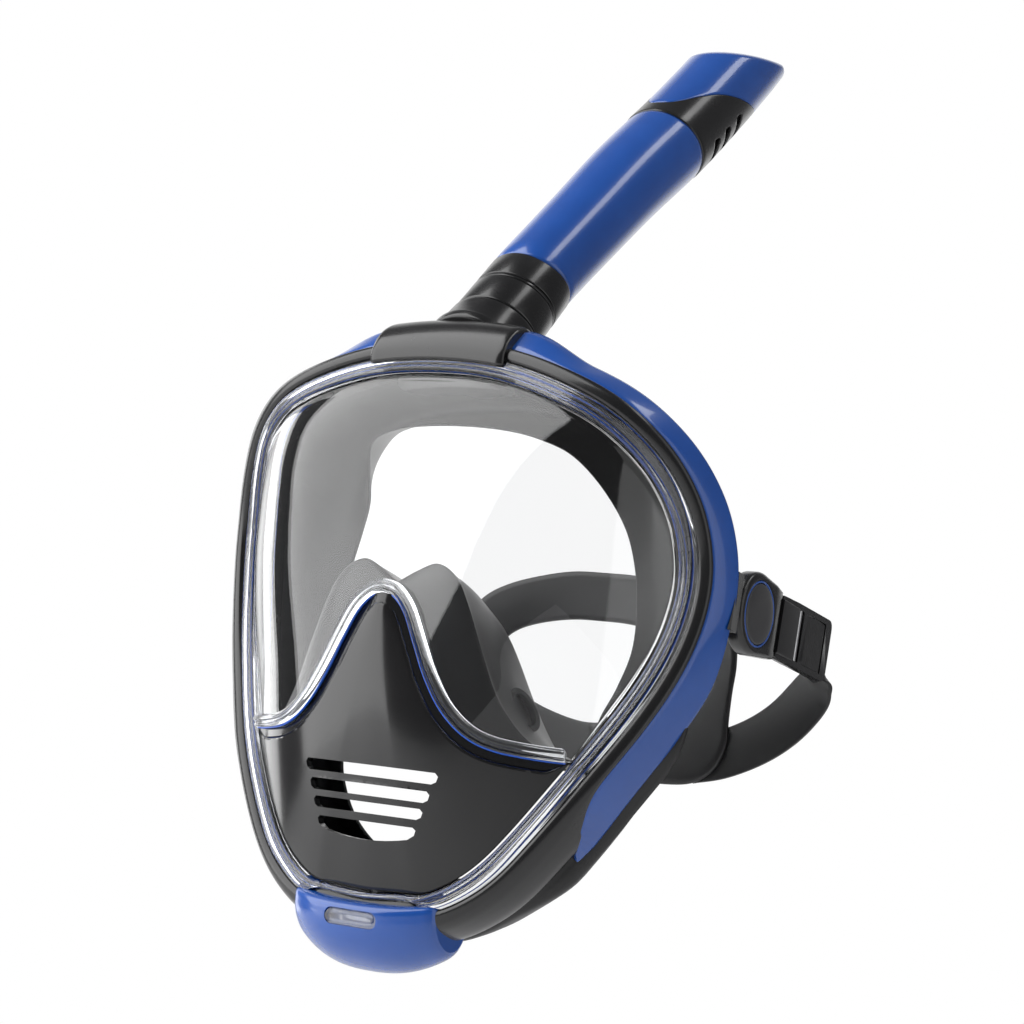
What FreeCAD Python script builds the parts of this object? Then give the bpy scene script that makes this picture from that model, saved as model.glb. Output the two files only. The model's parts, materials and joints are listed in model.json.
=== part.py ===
import FreeCAD, Part
import Sketcher
import math, os

# Full-face snorkel mask. Millimetres, +Z up, -Y is the front, the origin is the
# centre of the face opening. The drawing frame below has its zero at the chin of
# the lens rim; BASE moves every sub-part from it to the origin.
V = FreeCAD.Vector
Placement = FreeCAD.Placement
Rotation = FreeCAD.Rotation
os.makedirs("parts", exist_ok=True)
doc = FreeCAD.newDocument("SnorkelMask")

SIZES = [
    ("origin_y", 60), ("origin_z", 103), ("press_gap", 0.12),
    ("lens_wall", 2.6), ("lens_rim_width", 7), ("lens_rim_depth", 6.6), ("lens_crown", 17),
    ("bezel_lip", 6.1), ("bezel_depth", 16.5), ("bezel_inner", 6),
    ("frame_out", 10.5), ("frame_depth", 15.5), ("frame_tip", 33),
    ("skirt_wall", 2.2), ("cover_half", 29.5),
    ("clip_half", 34), ("clip_wall", 3), ("window_half", 11), ("window_half_tall", 2.9), ("window_thick", 3.4),
    ("slot_half", 11.3), ("slot_half_tall", 3.2),
    ("socket_bore", 13.25), ("socket_out", 18.2), ("socket_len", 24.7), ("socket_flange", 19.6), ("socket_flange_thick", 2.4),
    ("plug_out", 13.2), ("plug_len", 20), ("plug_bore", 10.6), ("plug_groove", 11.3), ("groove_low", 6.6), ("groove_high", 8.6),
    ("collar_out", 17.4), ("collar_top_out", 17.3), ("collar_step", 16.4), ("collar_len", 33.4), ("spigot_out", 13.9), ("spigot_len", 5),
    ("collar_neck", 16.2), ("collar_neck_top", 18.4),
    ("trim_in", 16.3), ("trim_out", 17.6), ("trim_thick", 1.6),
    ("oring_major", 12.25), ("oring_minor", 0.9),
    ("tube_low", 16.9), ("tube_high", 19.0), ("tube_wall", 2.2), ("divider_thick", 1.6),
    ("cap_out", 19.4), ("cap_wall", 2), ("vent_slot_wide", 6), ("vent_slot_tall", 13), ("cap_low", 166.5), ("cap_high", 231.5), ("cap_mid", 249), ("cap_slant", 28), ("cap_top", 2.6),
    ("float_out", 12), ("float_len", 15), ("float_bore", 3), ("float_travel", 8),
    ("gasket_out", 17.0), ("gasket_in", 9), ("gasket_thick", 2),
    ("purge_flange", 8), ("purge_flange_thick", 1.6), ("purge_barrel", 5.4), ("purge_bore", 4), ("purge_len", 22.9),
    ("flap_out", 6.8), ("flap_thick", 0.9), ("flap_stem", 3.3), ("flap_stem_len", 3),
    ("inhale_out", 9), ("inhale_in", 6.6), ("inhale_thick", 2.2), ("inhale_flap", 7.6), ("inhale_flap_thick", 0.9), ("inhale_hub", 1.6), ("inhale_hub_len", 0.8),
    ("boss_post", 4.93), ("boss_post_len", 4.1), ("plate_thick", 3.2), ("plate_tall", 22), ("plate_front", 19), ("plate_back", 11),
    ("lug_front", 21), ("lug_wide", 7), ("lug_rise", 7.2),
    ("housing_out", 16), ("housing_thick", 7), ("housing_bore", 5), ("button_pocket", 12.1), ("pocket_depth", 4.4),
    ("wing_tall", 27), ("wing_back", 21), ("wing_low", 1.2), ("wing_thick", 4.6),
    ("ring_out", 12.75), ("ring_in", 11.75), ("ring_thick", 1.1),
    ("button_out", 11.6), ("button_thick", 2), ("button_crown", 0.5), ("button_travel", 1.4),
    ("spring_out", 7), ("spring_in", 5.5), ("spring_len", 0.88),
    ("glide_len", 50.5), ("glide_tall", 25), ("glide_thick", 4), ("slot_at", 38.3), ("slot_wide", 4.4), ("window_at", 46.6), ("window_wide", 19), ("glide_win_tall", 20.4),
    ("bar_out", 1.4), ("bar_len", 23.4),
    ("strap_thick", 2.4), ("tail_tall", 19.4), ("tail_thick", 1.9), ("tail_len", 46), ("pad_rise", 3.2),
]
sheet = doc.addObject("Spreadsheet::Sheet", "Sizes")
for i, (name, value) in enumerate(SIZES):
    sheet.set("A%d" % (i + 1), name)
    sheet.set("B%d" % (i + 1), str(value))
    sheet.setAlias("B%d" % (i + 1), name)
doc.recompute()


def g(name):
    return float(getattr(sheet, name))


BASE = V(0, -g("origin_y"), -g("origin_z"))
SUBPARTS = []


def add(obj, label, placement=None):
    """Label a sub-part and put it in the common frame."""
    obj.Label = label
    p = Placement(BASE, Rotation())
    if placement is not None:
        p = p.multiply(placement)
    obj.Placement = p
    SUBPARTS.append(obj)
    return obj


def feature(label, shape, placement=None):
    """A free-form sub-part: the shape is computed, then placed."""
    if shape.ShapeType == "Compound" and len(shape.Solids) == 1:
        shape = shape.Solids[0]
    obj = doc.addObject("Part::Feature", label)
    obj.Shape = shape
    return add(obj, label, placement)


def plane_of(body, role):
    return [f for f in body.Origin.OriginFeatures if f.Role == role][0]


def bind(sk, kind, geo, pos, alias):
    """One coordinate of a sketch point, bound to a cell (or held on the axis)."""
    if alias == 0:
        axis = -2 if kind == "DistanceX" else -1
        sk.addConstraint(Sketcher.Constraint("PointOnObject", geo, pos, axis))
        return
    names = alias if isinstance(alias, (list, tuple)) else [alias]
    expr = " + ".join("Sizes." + n if n[0] != "-" else "(0 - Sizes." + n[1:] + ")" for n in names)
    val = sum(g(n) if n[0] != "-" else -g(n[1:]) for n in names)
    k = sk.addConstraint(Sketcher.Constraint(kind, -1, 1, geo, pos, val))
    sk.setExpression("Constraints[%d]" % k, expr)


def value(alias):
    if alias == 0:
        return 0.0
    names = alias if isinstance(alias, (list, tuple)) else [alias]
    return sum(g(n) if n[0] != "-" else -g(n[1:]) for n in names)


def outline(body, name, role, pts):
    """A closed polygon sketch on one of the body's own planes."""
    sk = body.newObject("Sketcher::SketchObject", name)
    sk.AttachmentSupport = [(plane_of(body, role), "")]
    sk.MapMode = "FlatFace"
    xy = [V(value(a), value(b), 0) for a, b in pts]
    n = len(xy)
    for i in range(n):
        sk.addGeometry(Part.LineSegment(xy[i], xy[(i + 1) % n]), False)
    for i in range(n):
        sk.addConstraint(Sketcher.Constraint("Coincident", i, 2, (i + 1) % n, 1))
    for i in range(n):
        bind(sk, "DistanceX", i, 1, pts[i][0])
        bind(sk, "DistanceY", i, 1, pts[i][1])
    return sk


def rev_body(label, pts, placement=None):
    """A turned sub-part: (radius, height) profile about its own Z."""
    body = doc.addObject("PartDesign::Body", label + "_body")
    sk = outline(body, label + "_profile", "XZ_Plane", pts)
    rev = body.newObject("PartDesign::Revolution", label + "_turn")
    rev.Profile = sk
    rev.ReferenceAxis = (sk, ["V_Axis"])
    rev.Angle = 360
    doc.recompute()
    return add(body, label, placement)


def pad_body(label, pts, height, placement=None):
    """A plate sub-part: outline in its own XY, padded along its own Z."""
    body = doc.addObject("PartDesign::Body", label + "_body")
    sk = outline(body, label + "_outline", "XY_Plane", pts)
    pad = body.newObject("PartDesign::Pad", label + "_pad")
    pad.Profile = sk
    pad.setExpression("Length", "Sizes." + height)
    doc.recompute()
    return add(body, label, placement)


def smooth(e0, e1, v):
    u = max(0.0, min(1.0, (v - e0) / float(e1 - e0)))
    return u * u * (3 - 2 * u)


# ---------------------------------------------------------------- rim curve
RIM = [(0, -0.6, 207.2), (28, -0.9, 205.0), (55, 0.2, 197.4), (71.8, 4, 189.9), (82.4, 9.5, 182.1),
       (89.5, 15.4, 174.4), (94.5, 21.1, 166.3), (98.6, 26.8, 156.0), (101.0, 31.2, 144), (101.7, 33.3, 132.4),
       (99.6, 33.1, 114.5), (94.5, 29.6, 96.4), (87.1, 24, 78.7), (78.3, 17.2, 61.1), (68.8, 11.6, 44),
       (58.1, 7.2, 27), (45.5, 3.6, 11.5), (30.5, 0.3, 1.6), (24, -0.8, 1.0), (18.5, -1.4, 3.4), (0, -2.2, 2.0)]
PLAIN = RIM[:17] + [(32.0, 0.9, 1.6), (23, -0.3, -2.0), (13.0, -1.3, -3.6), (0, -2.0, -4.2)]


def closed(pts):
    right = [V(*p) for p in pts]
    return right + [V(-p.x, p.y, p.z) for p in right[-2:0:-1]]


def loop_curve(pts, knots):
    c = Part.BSplineCurve()
    c.interpolate(Points=closed(pts), PeriodicFlag=True, Parameters=knots)
    return c


_c = closed(PLAIN)
KNOTS = [0.0]
for i in range(len(_c)):
    KNOTS.append(KNOTS[-1] + (_c[(i + 1) % len(_c)] - _c[i]).Length ** 0.75)
TOTAL = KNOTS[-1]
STEPPED = loop_curve(RIM, KNOTS)
SMOOTH = loop_curve(PLAIN, KNOTS)
COUNT = 88
STATIONS = [TOTAL * k / COUNT for k in range(COUNT)]
RING_KNOTS = [TOTAL * k / COUNT for k in range(COUNT + 1)]


def rim_normal(curve, t):
    d = curve.tangent(t)[0]
    n = V(-d.z, 0, d.x)
    n.normalize()
    return n


def rim(t, a, b):
    """Point a outward and b back from the lens rim; far out the chin step fades."""
    p0 = STEPPED.value(t)
    n0 = rim_normal(STEPPED, t)
    p1 = SMOOTH.value(t)
    n1 = rim_normal(SMOOTH, t)
    w = smooth(0.1, 5.0, abs(a))
    if a < 0:
        w *= 0.75
    p = p0 * (1 - w) + p1 * w
    n = n0 * (1 - w) + n1 * w
    n.normalize()
    return p + n * a + V(0, b, 0)


def chin_weight(t):
    return 1 - smooth(33, 60, SMOOTH.value(t).z)


def ring(section):
    """Closed ring solid: section(t) gives the corner points at one station."""
    rows = [section(t) for t in STATIONS]
    n = len(rows[0])
    edges = []
    for k in range(n):
        c = Part.BSplineCurve()
        c.interpolate(Points=[r[k] for r in rows], PeriodicFlag=True, Parameters=RING_KNOTS)
        edges.append(c.toShape())
    faces = [Part.makeRuledSurface(edges[k], edges[(k + 1) % n]) for k in range(n)]
    shell = Part.makeShell(faces)
    shell.sewShape()
    if shell.ShapeType != "Shell":
        shell = shell.Shells[0]
    solid = Part.makeSolid(shell)
    if solid.Volume < 0:
        solid.reverse()
    return solid


def prism(points, y0, y1, smooth_wire=True):
    """Straight prism along Y with an outline given as (x, z) points."""
    pts = [V(x, y0, z) for x, z in points]
    if smooth_wire:
        c = Part.BSplineCurve()
        c.interpolate(Points=pts, PeriodicFlag=True)
        w = Part.Wire([c.toShape()])
    else:
        w = Part.makePolygon(pts + [pts[0]])
    return Part.Face(w).extrude(V(0, y1 - y0, 0))


def box(x0, y0, z0, x1, y1, z1):
    return Part.makeBox(x1 - x0, y1 - y0, z1 - z0, V(x0, y0, z0))


# ---------------------------------------------------------------- lens dome
CZ = 110.0
_tab = []
for k in range(240):
    q = rim(TOTAL * k / 240.0, -g("lens_rim_width") + 0.5, 0)
    _tab.append((math.atan2(q.z - CZ, q.x), math.hypot(q.x, q.z - CZ), q.y))
_tab.sort()


def polar(theta):
    th = (theta + math.pi) % (2 * math.pi) - math.pi
    lo = _tab[-1]
    lo = (lo[0] - 2 * math.pi, lo[1], lo[2])
    for hi in _tab + [(_tab[0][0] + 2 * math.pi, _tab[0][1], _tab[0][2])]:
        if th <= hi[0]:
            u = (th - lo[0]) / max(1e-9, hi[0] - lo[0])
            return lo[1] + (hi[1] - lo[1]) * u, lo[2] + (hi[2] - lo[2]) * u
        lo = hi
    return lo[1], lo[2]


def dome(x, z):
    """Front of the lens as a height field: crowned, springing from the rim."""
    r = math.hypot(x, z - CZ)
    if r < 1e-6:
        return -g("lens_crown")
    th = math.atan2(z - CZ, x)
    R, y = polar(th)
    rho = min(r / R, 1.1)
    n = 3.2 + 0.85 * math.sin(th)
    return -g("lens_crown") + (y - 1.0 + g("lens_crown")) * rho ** n


def dome_slab(front, thick):
    """Slab between the dome moved by `front` and the same moved by front+thick."""
    xs = [-108 + 216.0 * i / 30 for i in range(31)]
    zs = [-12 + 230.0 * i / 32 for i in range(33)]
    s = Part.BSplineSurface()
    s.interpolate([[V(x, dome(x, z) + front, z) for z in zs] for x in xs])
    return s.toShape().extrude(V(0, thick, 0))


def rim_outline(a, count=96):
    return [(lambda q: (q.x, q.z))(rim(TOTAL * k / count, a, 0)) for k in range(count)]


BELL = [(0, 114.2), (5, 112.8), (10.5, 107), (16, 96), (21.5, 84.5), (28.5, 73.5), (37, 65.6), (46.6, 61.6), (62, 60.6), (88, 61.5)]


def bell_region(grow):
    """Everything below the bell line, its edge moved up and out by grow."""
    c = Part.BSplineCurve()
    pts = []
    full = [(-x, z) for x, z in BELL[:0:-1]] + BELL
    n = len(full)
    for i, (x, z) in enumerate(full):
        x0, z0 = full[max(0, i - 1)]
        x1, z1 = full[min(n - 1, i + 1)]
        L = math.hypot(x1 - x0, z1 - z0)
        pts.append(V(x - (z1 - z0) / L * grow, -60, z + (x1 - x0) / L * grow))
    c.interpolate(Points=pts)
    e = c.toShape()
    a, b = pts[0], pts[-1]
    low = [b, V(120, -60, b.z), V(120, -60, -40), V(-120, -60, -40), V(-120, -60, a.z), a]
    w = Part.Wire([e] + [Part.makeLine(low[i], low[i + 1]) for i in range(5)])
    return Part.Face(w).extrude(V(0, 130, 0))


rw, rd = g("lens_rim_width"), g("lens_rim_depth")
lens_rim = ring(lambda t: [rim(t, -rw, -1.0), rim(t, -rw + 1.6, -2.0), rim(t, -3.2, -1.9), rim(t, -0.2, -0.6),
                           rim(t, 0, 0.2), rim(t, 0, rd), rim(t, -rw, rd)])
panel = dome_slab(0, g("lens_wall")).common(prism(rim_outline(-rw + 1.2), -60, 70)).cut(bell_region(0.25))
lens = lens_rim.fuse(panel)
feature("lens", lens)

# ---------------------------------------------------------------- nose cover
VENTS = [(29.3, 48.1), (26.5, 41.1), (24.2, 34.6), (21.8, 27.6)]
cover = dome_slab(-0.7, 3.0).common(prism(rim_outline(-rw - 0.3), -60, 70)).common(bell_region(-0.1))
for half, z in VENTS:
    cover = cover.cut(box(-half + 1.6, -40, z - 1.8, half - 1.6, 20, z + 1.8))
    for sx in (-1, 1):
        cover = cover.cut(Part.makeCylinder(1.8, 60, V(sx * (half - 1.8), -40, z), V(0, 1, 0)))
feature("nose_cover", cover)

# ---------------------------------------------------------------- bezel frame
lip, bdep, bin_ = g("bezel_lip"), g("bezel_depth"), g("bezel_inner")


def bezel_section(t, grow=0.0):
    w = chin_weight(t)
    gg = grow
    back = bdep + 3.5 * w + gg
    return [rim(t, 0.15, -0.4 - gg), rim(t, 3.4, -0.3 - gg), rim(t, lip + gg, 2.2 - gg), rim(t, lip + 2.2 * w + gg, 6),
            rim(t, lip + 2.6 * w + gg, 11), rim(t, lip + 1.2 * w + gg, 15 + gg), rim(t, 4.4, back), rim(t, -bin_, back),
            rim(t, -bin_, rd + 0.25), rim(t, 0.15, rd + 0.25)]


bezel = ring(bezel_section)
PURGE = V(0, 11.4, 0)
bezel = bezel.cut(Part.makeCylinder(g("purge_barrel") + 0.05, 60, V(PURGE.x, PURGE.y, -40), V(0, 0, 1)))
feature("bezel_frame", bezel)


# ---------------------------------------------------------------- side frame
def frame_section(t, grow=0.0):
    z = SMOOTH.value(t).z
    low = 1 - smooth(33, 62, z)
    out = g("frame_out") - 2.6 * (1 - smooth(57, 105, z))
    bf = 3.3 + 8.5 * low
    inner = lip + 2.6 * chin_weight(t) + 0.2
    out = max(out, inner + 1.6)
    return [rim(t, inner, bf - grow), rim(t, inner + 0.55 * (out - inner) + grow, bf + 1.8 - grow), rim(t, out + grow, bf + 6.0),
            rim(t, out + grow, g("frame_depth") - 1.0), rim(t, out - 1.0, g("frame_depth") + grow), rim(t, inner, g("frame_depth") + grow)]


def band(section, t0, t1, count):
    """Open band solid along part of the rim, both ends closed by flat fans."""
    ts = [t0 + (t1 - t0) * k / (count - 1.0) for k in range(count)]
    rows = [section(t % TOTAL) for t in ts]
    n = len(rows[0])
    edges = []
    for k in range(n):
        c = Part.BSplineCurve()
        c.interpolate(Points=[r[k] for r in rows], Parameters=ts)
        edges.append(c.toShape())
    faces = [Part.makeRuledSurface(edges[k], edges[(k + 1) % n]) for k in range(n)]
    for row in (rows[0], rows[-1]):
        for k in range(1, n - 1):
            faces.append(Part.Face(Part.makePolygon([row[0], row[k], row[k + 1], row[0]])))
    shell = Part.makeShell(faces)
    shell.sewShape()
    if shell.ShapeType != "Shell":
        shell = shell.Shells[0]
    solid = Part.makeSolid(shell)
    if solid.Volume < 0:
        solid.reverse()
    return solid


tip = [TOTAL * k / 2000.0 for k in range(400, 1000) if SMOOTH.value(TOTAL * k / 2000.0).z <= g("frame_tip")][0]
side = band(frame_section, -tip, tip, 61)
feature("side_frame", side)

# ---------------------------------------------------------------- chin clip
def yz_loop(points, x, sc):
    cy, cz = 8.0, -8.0
    c = Part.BSplineCurve()
    c.interpolate(Points=[V(x, cy + (y - cy) * sc, cz + (z - cz) * sc) for y, z in points], PeriodicFlag=True)
    return Part.Wire([c.toShape()])


CLIP = [(-9.2, -0.4), (-10.4, -6), (-8.2, -13), (-3, -19.5), (4, -23.6), (11, -24.8), (18, -23), (23, -18), (25, -11), (24, -3), (16, 0.5), (3, 1.2)]


def clip_body(sc):
    secs = []
    for x, s_, dy, dz in ((-34, 0.72, 3.4, 5.2), (-22, 0.92, 1.2, 1.9), (0, 1.0, 0, 0), (22, 0.92, 1.2, 1.9), (34, 0.72, 3.4, 5.2)):
        w = yz_loop(CLIP, x * (1 if sc == 1 else 0.94), s_ * sc)
        w.translate(V(0, dy, dz))
        secs.append(w)
    return Part.makeLoft(secs, True, False)


def clear_ring(t):
    w = chin_weight(t)
    gg = 0.25
    return [rim(t, -12, -3.2), rim(t, -1, -2.6), rim(t, 3.4, -0.6), rim(t, lip + gg, 1.9), rim(t, lip + 2.2 * w + gg, 6),
            rim(t, lip + 2.6 * w + gg, 11), rim(t, lip + 1.2 * w + gg, 15.2), rim(t, 4.6, bdep + 3.5 * w + 0.3), rim(t, -12, bdep + 3.5 * w + 0.3)]


ENVELOPE = ring(clear_ring)
clip = clip_body(1.0).cut(ENVELOPE)
cavity = clip_body(0.76).common(box(-40, -60, -60, 40, 80, -10.5)).fuse(Part.makeCylinder(8.2, 11.5, V(PURGE.x, PURGE.y, -19.5)))
clip = clip.cut(cavity).cut(box(-60, -60, 3.2, 60, 80, 60)).cut(box(-60, 17.6, -8.6, 60, 80, 60))
slot = box(-g("slot_half") + 3.2, -20, -9.0, g("slot_half") - 3.2, 0, -2.6)
for sx in (-1, 1):
    slot = slot.fuse(Part.makeCylinder(g("slot_half_tall"), 20, V(sx * (g("slot_half") - g("slot_half_tall")), -20, -5.8), V(0, 1, 0)))
clip = clip.cut(slot)
if len(clip.Solids) > 1:
    clip = sorted(clip.Solids, key=lambda q: -q.Volume)[0]
feature("chin_clip", clip)

# clear window plug in the slot: a plate with chamfered ends, made in its own XY
wh, wt = "window_half", "window_half_tall"
pad_body("chin_window", [(["window_half"], 0), (["window_half", "-window_thick"], "window_half_tall"),
                         (["window_thick", "-window_half"], "window_half_tall"), (["-window_half"], 0),
                         (["window_thick", "-window_half"], ["-window_half_tall"]), (["window_half", "-window_thick"], ["-window_half_tall"])],
         "window_thick", Placement(V(0, -6.6, -5.8), Rotation(V(1, 0, 0), 90)))

# ---------------------------------------------------------------- top cover and socket
D0 = V(0, 0.690, 0.724)
D0.normalize()
S0 = V(0, 38.9, 229.7)
TOPCOVER = [(-4.4, 204.4), (-4.9, 208), (-2.9, 213.8), (1.2, 219.2), (6, 222.2), (11, 223.4), (13.6, 222.6), (36.2, 201.0), (33.5, 197.2), (20, 197)]
hw = g("cover_half")
tc = Part.Face(Part.makePolygon([V(-hw, y, z) for y, z in TOPCOVER + [TOPCOVER[0]]])).extrude(V(2 * hw, 0, 0))
try:
    tc = tc.makeFillet(2.2, [e for e in tc.Edges if abs(e.BoundBox.XLength) < 1e-6 and e.BoundBox.ZMax > 205 and e.BoundBox.YMax < 15])
except Exception:
    pass
# the cover sits over the bezel and the side frame
def top_env(t):
    return [rim(t, -12, -3.2), rim(t, -1, -2.6), rim(t, 3.4, -0.6), rim(t, lip + 0.3, 1.9), rim(t, lip + 2.6, 4.4), rim(t, g("frame_out") + 0.3, 8.6),
            rim(t, g("frame_out") + 0.3, 15.0), rim(t, g("frame_out") - 0.8, 16.9), rim(t, -12, 16.9)]


tc = tc.cut(ring(top_env))
bore = Part.makeCylinder(g("socket_bore") + g("socket_flange_thick") + 0.1, 90, S0 - D0 * 70, D0)
tc = tc.cut(bore)
tc = sorted(tc.Solids, key=lambda q: -q.Volume)[0]
feature("top_cover", tc)

Q = Placement(S0 - D0 * g("socket_len"), Rotation(V(0, 0, 1), D0))
rev_body("snorkel_socket", [("socket_bore", 0), (["socket_bore", "socket_flange_thick"], 0), (["socket_bore", "socket_flange_thick"], "socket_flange_thick"),
                            ("socket_out", "socket_flange_thick"), ("socket_out", "socket_len"), ("socket_bore", "socket_len")],
         Placement(S0 - D0 * (g("socket_len") + 0.15), Rotation(V(0, 0, 1), D0)))

# ---------------------------------------------------------------- skirt
OPEN = [(0, 190), (30, 185), (48, 175), (60, 160), (65, 140), (62, 115), (56, 89), (53, 70), (50, 51), (40, 30), (25, 18), (0, 12)]
_oc = Part.BSplineCurve()
_oc.interpolate(Points=[V(x, 0, z) for x, z in OPEN] + [V(-x, 0, z) for x, z in OPEN[-2:0:-1]], PeriodicFlag=True)
_ot = []
for k in range(300):
    u = _oc.FirstParameter + (_oc.LastParameter - _oc.FirstParameter) * k / 300.0
    q = _oc.value(u)
    _ot.append((math.atan2(q.z - 103, q.x), math.hypot(q.x, q.z - 103)))
_ot.sort()


def open_radius(th):
    lo = (_ot[-1][0] - 2 * math.pi, _ot[-1][1])
    for hi in _ot + [(_ot[0][0] + 2 * math.pi, _ot[0][1])]:
        if th <= hi[0]:
            return lo[1] + (hi[1] - lo[1]) * (th - lo[0]) / max(1e-9, hi[0] - lo[0])
        lo = hi
    return lo[1]


def skirt_section(t):
    w = chin_weight(t)
    back = bdep + 3.5 * w + 0.3
    q0 = rim(t, 3.8, back)
    th = math.atan2(q0.z - 103, q0.x)
    ro = open_radius(th)
    rr = math.hypot(q0.x, q0.z - 103)
    u = V(math.cos(th), 0, math.sin(th))
    c = V(0, 0, 103)
    k = g("skirt_wall")
    mid_r = ro + (rr - ro) * 0.93
    mid_y = q0.y + (60 - q0.y) * 0.42
    out2 = ro + min(16.0, 0.62 * (rr - ro))
    p_mid = c + u * mid_r + V(0, mid_y, 0)
    p_back = c + u * out2 + V(0, 60, 0)
    p_open = c + u * ro + V(0, 56.5, 0)
    i0 = rim(t, 3.8 - k, back)
    return [q0, p_mid, p_back, p_open, p_open + V(0, -k, 0) + u * 0.4, p_back + V(0, -k, 0) - u * k * 0.6, p_mid - u * k, i0]


skirt = ring(skirt_section)
notch = Part.makeCylinder(g("socket_flange") + 0.6, 60, S0 - D0 * 60, D0).fuse(box(-hw - 0.4, 13.0, 195.5, hw + 0.4, 37.0, 224))
skirt = skirt.cut(notch)
skirt = sorted(skirt.Solids, key=lambda q: -q.Volume)[0]
feature("skirt", skirt)

# ---------------------------------------------------------------- oronasal cup wall
CUPF = [(0, -8.6, 118.6), (8, -8.6, 123.4), (16, -7.8, 126), (24, -5.0, 121.5), (30, -1.8, 111.5), (37, 0.0, 94), (44, 1.5, 78), (54, 5, 66), (66, 11.5, 61.5), (75, 19, 60)]
CUPB = [(0, 46, 106), (8, 43, 111), (15, 42, 112.5), (21, 43, 106), (26, 45, 97), (32, 47, 85), (38, 49, 74), (44, 50.5, 65), (49, 51.5, 59), (53, 52, 55)]


CUPF = [(x, dome(x, z) + g("lens_wall") + 1.2, z) for x, y, z in CUPF if x < 70]
CUPB = [p for p in CUPB if p[0] < 53]


def sheet_wall(front, back, thick):
    """Wall between two mirrored edge curves, `thick` deep towards -Z."""
    def edge(pts, dz):
        c = Part.BSplineCurve()
        c.interpolate(Points=[V(-x, y, z + dz) for x, y, z in pts[:0:-1]] + [V(x, y, z + dz) for x, y, z in pts])
        return c.toShape()
    e = [edge(front, 0), edge(back, 0), edge(back, -thick), edge(front, -thick)]
    faces = [Part.makeRuledSurface(e[k], e[(k + 1) % 4]) for k in range(4)]
    for end in (0, 1):
        vs = [(q.valueAt(q.FirstParameter) if end == 0 else q.valueAt(q.LastParameter)) for q in e]
        l = [Part.makeLine(vs[k], vs[(k + 1) % 4]) for k in range(4)]
        faces.append(Part.makeRuledSurface(l[0], Part.makeLine(vs[3], vs[2])))
    sh = Part.makeShell(faces)
    sh.sewShape()
    if sh.ShapeType != "Shell":
        sh = sh.Shells[0]
    so = Part.makeSolid(sh)
    if so.Volume < 0:
        so.reverse()
    return so


cup = sheet_wall(CUPF, CUPB, 2.0)
# seats for the two inhale valves, one in each flank of the cup wall
INHALE = {}
for side_name, sx in (("left", -1), ("right", 1)):
    c0 = V(sx * 41.5, 24, 78.0)
    n0 = V(sx * 0.86, -0.08, 0.5)
    n0.normalize()
    INHALE[side_name] = (c0, n0)
    cup = cup.cut(Part.makeCylinder(g("inhale_out") + 0.2, 30, c0 - n0 * 15, n0))
cup = sorted(cup.Solids, key=lambda q: -q.Volume)[0]
feature("oronasal_cup", cup)
for side_name in ("left", "right"):
    c0, n0 = INHALE[side_name]
    rev_body("inhale_seat_" + side_name, [("inhale_in", 0), ("inhale_out", 0), ("inhale_out", "inhale_thick"), ("inhale_in", "inhale_thick")],
             Placement(c0 - n0 * (g("inhale_thick") / 2), Rotation(V(0, 0, 1), n0)))
    rev_body("inhale_valve_" + side_name, [(0, 0), ("inhale_flap", 0), ("inhale_flap", "inhale_flap_thick"), ("inhale_hub", "inhale_flap_thick"),
                                           ("inhale_hub", ["inhale_flap_thick", "inhale_hub_len"]), (0, ["inhale_flap_thick", "inhale_hub_len"])],
             Placement(c0 - n0 * (g("inhale_thick") / 2 + 0.02), Rotation(V(0, 0, 1), n0 * -1)))

# ---------------------------------------------------------------- purge valve in the chin
zf = 9.6
rev_body("purge_seat", [("purge_bore", 0), ("purge_barrel", 0), ("purge_barrel", "purge_len"), ("purge_flange", "purge_len"),
                        ("purge_flange", ["purge_len", "purge_flange_thick"]), ("purge_bore", ["purge_len", "purge_flange_thick"])],
         Placement(V(PURGE.x, PURGE.y, zf - g("purge_len")), Rotation()))
rev_body("purge_valve", [(0, 0), ("flap_out", 0), ("flap_out", "flap_thick"), ("flap_stem", "flap_thick"), ("flap_stem", ["flap_thick", "flap_stem_len"]), (0, ["flap_thick", "flap_stem_len"])],
         Placement(V(PURGE.x, PURGE.y, zf - g("purge_len") - g("flap_thick") - 0.02), Rotation()))

# ---------------------------------------------------------------- snorkel
rev_body("snorkel_collar", [("plug_bore", 0), ("plug_out", 0), ("plug_out", "groove_low"), ("plug_groove", "groove_low"), ("plug_groove", "groove_high"),
                            ("plug_out", "groove_high"), ("plug_out", "plug_len"), ("collar_out", "plug_len"), ("collar_out", ["plug_len", "collar_step"]),
                            ("collar_neck", ["plug_len", "collar_step"]), ("collar_neck", ["plug_len", "collar_neck_top"]), ("collar_top_out", ["plug_len", "collar_neck_top"]),
                            ("collar_top_out", ["plug_len", "collar_len"]), ("spigot_out", ["plug_len", "collar_len"]),
                            ("spigot_out", ["plug_len", "collar_len", "spigot_len"]), ("plug_bore", ["plug_len", "collar_len", "spigot_len"])],
         Placement(S0 - D0 * (g("plug_len") - 0.15), Rotation(V(0, 0, 1), D0)))
rev_body("collar_ring", [("trim_in", 0), ("trim_out", 0), ("trim_out", "trim_thick"), ("trim_in", "trim_thick")],
         Placement(S0 + D0 * (g("collar_step") + 0.35), Rotation(V(0, 0, 1), D0)))
tor = doc.addObject("Part::Torus", "socket_o_ring_torus")
tor.setExpression("Radius1", "Sizes.oring_major")
tor.setExpression("Radius2", "Sizes.oring_minor")
doc.recompute()
add(tor, "socket_o_ring", Placement(S0 - D0 * (g("plug_len") - 0.15 - (g("groove_low") + g("groove_high")) / 2), Rotation(V(0, 0, 1), D0)))

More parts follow.
